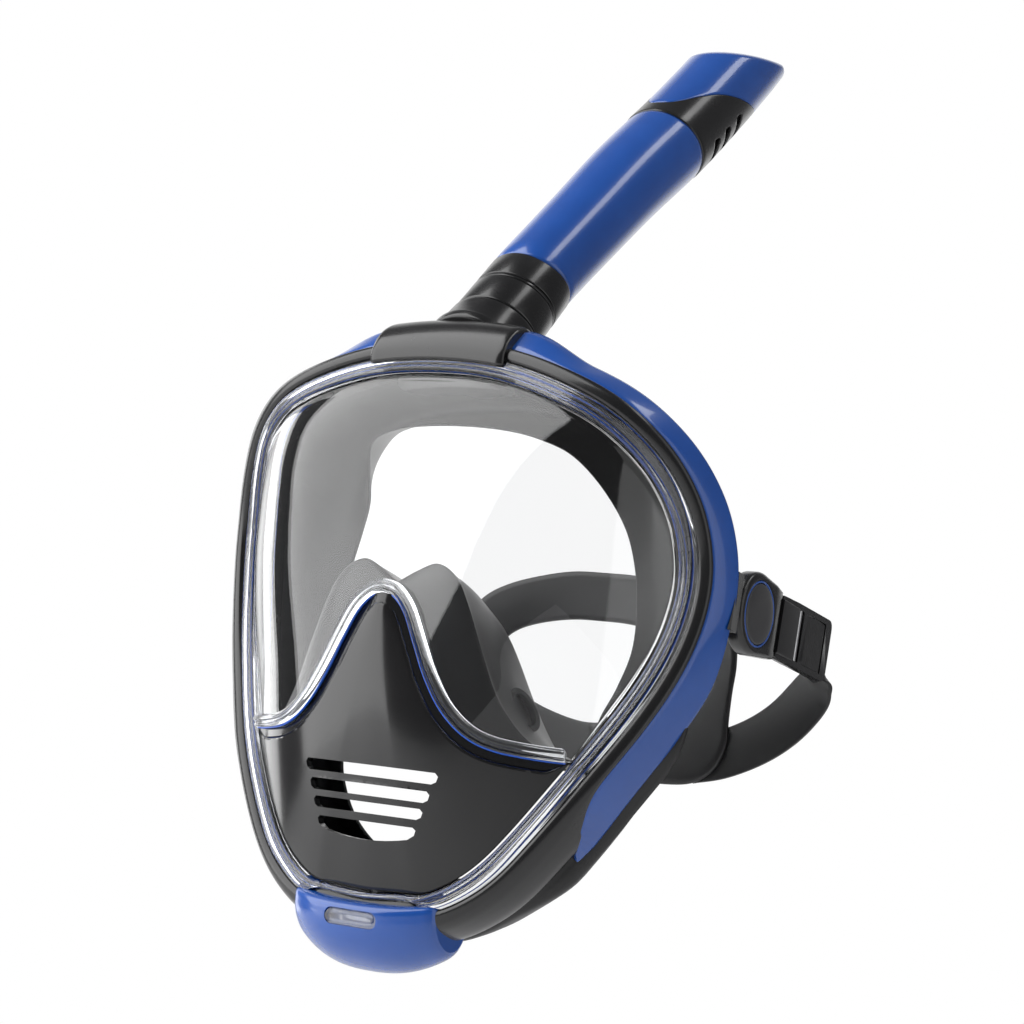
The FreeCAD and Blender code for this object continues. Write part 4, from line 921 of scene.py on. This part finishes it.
for side_name, sx in (("left", -1), ("right", 1)):
    L = local(sx)
    body = "buckle_" + side_name
    n = 144
    ph = np.arange(n) * 2 * math.pi / n
    # keep exact corners on the outline
    ph = np.sort(np.concatenate([ph, [math.atan2(13.5, 21), -math.atan2(13.5, 21) + 2 * math.pi]]))
    Rr = np.array([housing_radius(p) for p in ph])
    rows = []

    def hz(x, z):
        """face height: level on the disc, sloping down along the wing"""
        return z - 0.16 * max(0.0, x - 13.0) * (1 if z > -3 else 0)
    for k, (dr, z) in enumerate([(3.0, -7.0), (0.7, -7.0), (0.15, -6.6), (0, -6.0), (0, -2.2), (0.15, -1.5), (0.6, -0.7), (1.3, -0.2), (2.1, 0.0)]):
        rows.append([L((r - dr) * math.cos(p), (r - dr) * math.sin(p), hz((r - dr) * math.cos(p), z)) for p, r in zip(ph, Rr)])
    for f in (0.66, 0.33):
        rows.append([L((13.4 + (r - 2.1 - 13.4) * f) * math.cos(p), (13.4 + (r - 2.1 - 13.4) * f) * math.sin(p), hz((13.4 + (r - 2.1 - 13.4) * f) * math.cos(p), 0.0)) for p, r in zip(ph, Rr)])
    for r, z in [(13.2, 0.0), (12.9, -0.1), (12.8, -0.5), (12.8, -4.4), (5.1, -4.4), (5.1, -7.0)]:
        rows.append([L(r * math.cos(p), r * math.sin(p), z) for p in ph])
    h = grid("buckle_shell_" + side_name, rows, M_BLACK, body, cu=True, cv=True, sharp=48)
    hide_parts("buckle_housing_" + side_name)

    def turned(name, prof, mat, bdy, closed=True, sharp=45):
        rws = [[L(r * math.cos(p), r * math.sin(p), z) for p in np.arange(96) * 2 * math.pi / 96] for r, z in prof]
        return grid(name, rws, mat, bdy, cu=closed, cv=True, cap0=not closed, cap1=not closed, sharp=sharp)
    rg = turned("blue_ring_" + side_name, round_poly([(11.85, -1.2), (12.7, -1.2), (12.7, 0.0), (11.85, 0.0)], 0.35, 3), M_BLUE, body)
    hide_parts("button_ring_" + side_name)
    bt = turned("button_cap_" + side_name, [(0.02, -1.0), (8, -1.0), (11.2, -1.0), (11.5, -0.9), (11.6, -0.6), (11.5, -0.1), (11.2, 0.15), (10.6, 0.28), (8, 0.5), (5, 0.62), (2, 0.68), (0.02, 0.69)], M_BUTTON, "button_" + side_name)
    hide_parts("buckle_button_" + side_name)

    # glide frame: rounded plate with a bar slot and a strap window
    zb = -5.5
    out = round_poly([(21.3, -12.2), (36.5, -12.5), (72, -12.5), (72, 12.5), (36.5, 12.5), (21.3, 12.2)], [0.6, 1, 4.0, 4.0, 1, 0.6], 8)
    cen = np.array([46.0, 0.0])
    rws = []
    for k, z in [(0.985, zb), (1.0, zb + 0.4), (1.0, zb + 3.3), (0.988, zb + 4.0)]:
        rws.append([L(*(cen + (p - cen) * np.array([1 - (1 - k) * 0.5, k])), z - (0.9 * max(0.0, (p[0] - 52) / 20.0) ** 2)) for p in out])
    gl = grid("glide_shell_" + side_name, rws, M_BLACK, body, cap0=True, cap1=True)
    cts = []
    for x0, x1, tag in ((38.3, 42.7, "a"), (46.6, 65.8, "b")):
        sec = round_poly([(x0, -10.2), (x1, -10.2), (x1, 10.2), (x0, 10.2)], 1.0, 3)
        cts.append(grid("cutter_g%s%s" % (tag, side_name), [[L(p[0], p[1], z) for p in sec] for z in (-12, 4)], M_BLACK, None, cap0=True, cap1=True))
    cut(gl, cts, 35, 0.6, 3)
    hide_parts("glide_frame_" + side_name)
    bar = grid("glide_pin_" + side_name, [[L(40.5 + r * math.cos(p), y, zb + 2.4 + r * math.sin(p)) for p in np.arange(24) * 2 * math.pi / 24]
                                          for y, r in ((-11.4, 1.0), (-11.2, 1.35), (-10, 1.4), (10, 1.4), (11.2, 1.35), (11.4, 1.0))], M_STEEL, body, cap0=True, cap1=True, sharp=50)
    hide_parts("glide_bar_" + side_name)
    # strap between housing and bar: a crowned flat run
    rws = []
    for x in np.linspace(21.0, 38.0, 12):
        u = (x - 21.0) / 17.0
        zt = zb + 4.9 - 0.8 * u * u
        sec = round_poly([(-10.6, zt - 2.2), (10.6, zt - 2.2), (10.6, zt), (-10.6, zt)], 0.7, 3)
        rws.append([L(x, p[0], p[1]) for p in sec])
    web = grid("strap_fold_" + side_name, rws, M_STRAP, body, cap0=True, cap1=True, sharp=50)
    # ribbed strap face in the window
    rws = []
    for i, x in enumerate(np.linspace(46.9, 65.5, 112)):
        u = (x - 46.9) / 18.6
        zt = zb + 3.1 + 0.55 * math.sin(math.pi * u) + 0.22 * math.cos(2 * math.pi * (x - 46.9) / 1.55) - 0.9 * max(0.0, (x - 52) / 20.0) ** 2
        rws.append([L(x, y, z) for y, z in round_poly([(-10.0, zb - 1.6), (10.0, zb - 1.6), (10.0, zt), (-10.0, zt)], 0.5, 3)])
    rb = grid("strap_ribs_" + side_name, rws, M_RIBBED, body, cap0=True, cap1=True, sharp=50)
    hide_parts("strap_tail_" + side_name)

    # side band of the strap: out of the glide, round the corner and down to the rear pad
    path = [L(30, 0.0, -7.2), L(45, -0.3, -7.3), L(60, -0.8, -7.3), L(70, -2.0, -7.2), (sx * 106.6, 147.6, 115.5), (sx * 104.6, 150.6, 109.0), (sx * 100.2, 152.4, 101.5), (sx * 91, 153.6, 91.0), (sx * 79, 154.8, 82.4), (sx * 64, 155.8, 75.5), (sx * 50, 156.4, 72.0)]
    wdir = [L(0, 1, 0) - L(0, 0, 0)] * 4 + [(sx * -0.08, 0.1, 0.98), (sx * -0.26, 0.08, 0.95), (sx * -0.46, 0.04, 0.88), (sx * -0.57, 0.02, 0.82), (sx * -0.58, 0.02, 0.81), (sx * -0.42, 0, 0.9), (sx * -0.2, 0, 0.98)]
    C = catmull(np.array([np.array(p, float) for p in path]), 10)
    Wd = catmull(np.array([np.array(w_, float) for w_ in wdir]), 10)
    rws = []
    for i in range(len(C)):
        T = C[min(i + 1, len(C) - 1)] - C[max(i - 1, 0)]
        T /= np.linalg.norm(T)
        W = Wd[i] - T * np.dot(Wd[i], T)
        W /= np.linalg.norm(W)
        N = np.cross(T, W)
        sec = round_poly([(-10.0, -1.0), (10.0, -1.0), (10.0, 1.0), (-10.0, 1.0)], 0.6, 3)
        rws.append([C[i] + W * a + N * (b + 0.25 * (1 - (a / 10.0) ** 2)) for a, b in sec])
    band = grid("side_band_" + side_name, rws, M_STRAP, None, cap0=True, cap1=True, sharp=50)
    tuple(mm(L(66, 0, -7)))
    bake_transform(band)

# ------------------------------------------------------------------ rear pad of the strap
OUT = [(0, 147.4), (16, 147), (32, 144), (47, 139.5), (58, 133.5), (64.5, 125), (66.5, 113), (66, 101), (66, 89), (66.5, 79), (62, 68.5), (53, 62.4), (40, 60.4), (20, 60.6), (0, 61)]
HOL = [(0, 126.4), (14, 126), (28, 123.6), (39, 120), (45.5, 115.2), (48.6, 109), (46.8, 102.4), (41.4, 96.8), (33.6, 92), (24.5, 88.2), (16, 85.6), (8, 83.8), (0, 83)]
oc = catmull(np.array(OUT + [(-x, z) for x, z in OUT[-2:0:-1]], float), 8, True)
hc = catmull(np.array(HOL + [(-x, z) for x, z in HOL[-2:0:-1]], float), 8, True)
oc, hc = resample(oc, 224, True), resample(hc, 224, True)


def pad_y(x):
    return 156.5 - (np.abs(x) / 58.0) ** 2 * 2.0


def pad_row(P, dy):
    return np.stack([P[:, 0], pad_y(P[:, 0]) + dy, P[:, 1]], 1)


rows = []
K = 10
t_ = 1.25
for i in range(K + 1):
    u = 0.03 + 0.94 * i / K
    rows.append(pad_row(hc + (oc - hc) * u, -t_ - 0.35 * math.sin(math.pi * i / K)))
rows.append(pad_row(hc + (oc - hc) * 0.995, -0.6))
rows.append(pad_row(hc + (oc - hc) * 0.995, 0.6))
for i in range(K, -1, -1):
    u = 0.03 + 0.94 * i / K
    rows.append(pad_row(hc + (oc - hc) * u, t_ + 0.35 * math.sin(math.pi * i / K)))
rows.append(pad_row(hc + (oc - hc) * 0.005, 0.6))
rows.append(pad_row(hc + (oc - hc) * 0.005, -0.6))
pad = grid("rear_pad", rows, M_STRAP, "mask", cu=True, cv=True, sharp=60)
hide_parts("head_strap")

# ------------------------------------------------------------------ carried-over CAD nodes
NODE_MAT = {"inhale_seat_left": M_BLACK, "inhale_seat_right": M_BLACK, "inhale_valve_left": M_CUP, "inhale_valve_right": M_CUP, "purge_seat": M_BLACK, "purge_valve": M_CUP,
            "socket_o_ring": M_SKIRT, "tube_divider": M_BLACK, "float_gasket": M_SKIRT, "float": M_FLOAT, "anchor_boss_left": M_BLACK, "anchor_boss_right": M_BLACK,
            "button_spring_left": M_STEEL, "button_spring_right": M_STEEL, "glide_bar_left": M_STEEL, "glide_bar_right": M_STEEL}
for ob in list(bpy.data.objects):
    if ob.type != "MESH":
        continue
    key = ob.name
    if key in NODE_MAT:
        if not ob.material_slots:
            ob.data.materials.append(NODE_MAT[key])
        for s_ in ob.material_slots:
            s_.material = NODE_MAT[key]

# ------------------------------------------------------------------ stage, light, camera
floor_me = bpy.data.meshes.new("floor")
floor_me.from_pydata([(-2.6, -2.6, -0.62), (2.6, -2.6, -0.62), (2.6, 2.6, -0.62), (-2.6, 2.6, -0.62)], [], [(0, 1, 2, 3)])
floor = bpy.data.objects.new("floor", floor_me)
bpy.context.scene.collection.objects.link(floor)
fm = moulded("m_floor", (0.86, 0.86, 0.865), (0.89, 0.89, 0.895), 0.7, 0.8, 3, 0.0, 50)
floor_me.materials.append(fm)

world = bpy.data.worlds.new("world")
bpy.context.scene.world = world
world.use_nodes = True
wt = world.node_tree
bg = wt.nodes["Background"]
tcw = wt.nodes.new("ShaderNodeTexCoord")
dotn = wt.nodes.new("ShaderNodeVectorMath")
dotn.operation = "DOT_PRODUCT"
dotn.inputs[1].default_value = (-0.4991, 0.8579, 0.122)
wt.links.new(tcw.outputs["Generated"], dotn.inputs[0])
wr_ = wt.nodes.new("ShaderNodeValToRGB")
wr_.color_ramp.elements[0].position = 0.70
wr_.color_ramp.elements[0].color = (0.16, 0.16, 0.165, 1)
wr_.color_ramp.elements[1].position = 0.92
wr_.color_ramp.elements[1].color = (1.0, 1.0, 1.0, 1)
wt.links.new(dotn.outputs["Value"], wr_.inputs["Fac"])
wt.links.new(wr_.outputs["Color"], bg.inputs[0])
bg.inputs[1].default_value = 1.0


def panel(name, az, el, dist, size, radiance, color=(1, 1, 1), roll=0.0):
    """Soft box seen from the middle of the mask at azimuth az (0 = straight ahead, positive to +X)."""
    a, e = math.radians(az), math.radians(el)
    c = Vector((0, -0.02, 0.03))
    loc = c + Vector((math.sin(a) * math.cos(e), -math.cos(a) * math.cos(e), math.sin(e))) * dist
    li = bpy.data.lights.new(name, "AREA")
    li.shape = "RECTANGLE"
    li.size, li.size_y = size
    li.energy = radiance * size[0] * size[1] * math.pi
    li.color = color
    ob = bpy.data.objects.new(name, li)
    ob.location = loc
    ob.rotation_euler = ((c - loc).to_track_quat("-Z", "Y").to_matrix() @ Matrix.Rotation(math.radians(roll), 3, "Z")).to_euler()
    bpy.context.scene.collection.objects.link(ob)
    return ob


panel("veil_box", -42, 30, 2.2, (2.7, 4.6), 3.1, roll=-9)
panel("right_box", 90, 6, 2.0, (1.5, 2.8), 0.8, roll=8)
panel("left_box", -103, 6, 2.0, (0.6, 2.4), 2.8)

strip = bpy.data.lights.new("strip_box", "AREA")
strip.shape = "RECTANGLE"
strip.size, strip.size_y = 0.26, 1.5
strip.energy = 3.2 * 0.26 * 1.5 * math.pi
strip_ob = bpy.data.objects.new("strip_box", strip)
s_loc, s_tgt = Vector((0.86, 0.23, 1.53)), Vector((0, 0.07, 0.2))
s_z = (s_loc - s_tgt).normalized()
s_y = Vector((0, 0.68, 0.73))
s_y = (s_y - s_z * s_y.dot(s_z)).normalized()
s_x = s_y.cross(s_z)
strip_ob.matrix_world = Matrix.Translation(s_loc) @ Matrix((s_x, s_y, s_z)).transposed().to_4x4()
bpy.context.scene.collection.objects.link(strip_ob)

cam_data = bpy.data.cameras.new("camera")
cam_data.lens = 87.9
cam_data.sensor_width = 36.0
cam_data.clip_start = 0.01
cam = bpy.data.objects.new("camera", cam_data)
R_ = Matrix(((0.864841093285433, -0.05430211850730327, 0.4991003539274198),
             (0.48432825360949455, -0.17153019738680822, -0.8579064833302169),
             (0.13219692175097722, 0.9836811837735137, -0.1220463132155354)))
cam.matrix_world = Matrix.Translation((0.4997, -0.8509, -0.0665)) @ R_.to_4x4()
bpy.context.scene.collection.objects.link(cam)
bpy.context.scene.camera = cam
bpy.context.scene.view_settings.view_transform = "Standard"
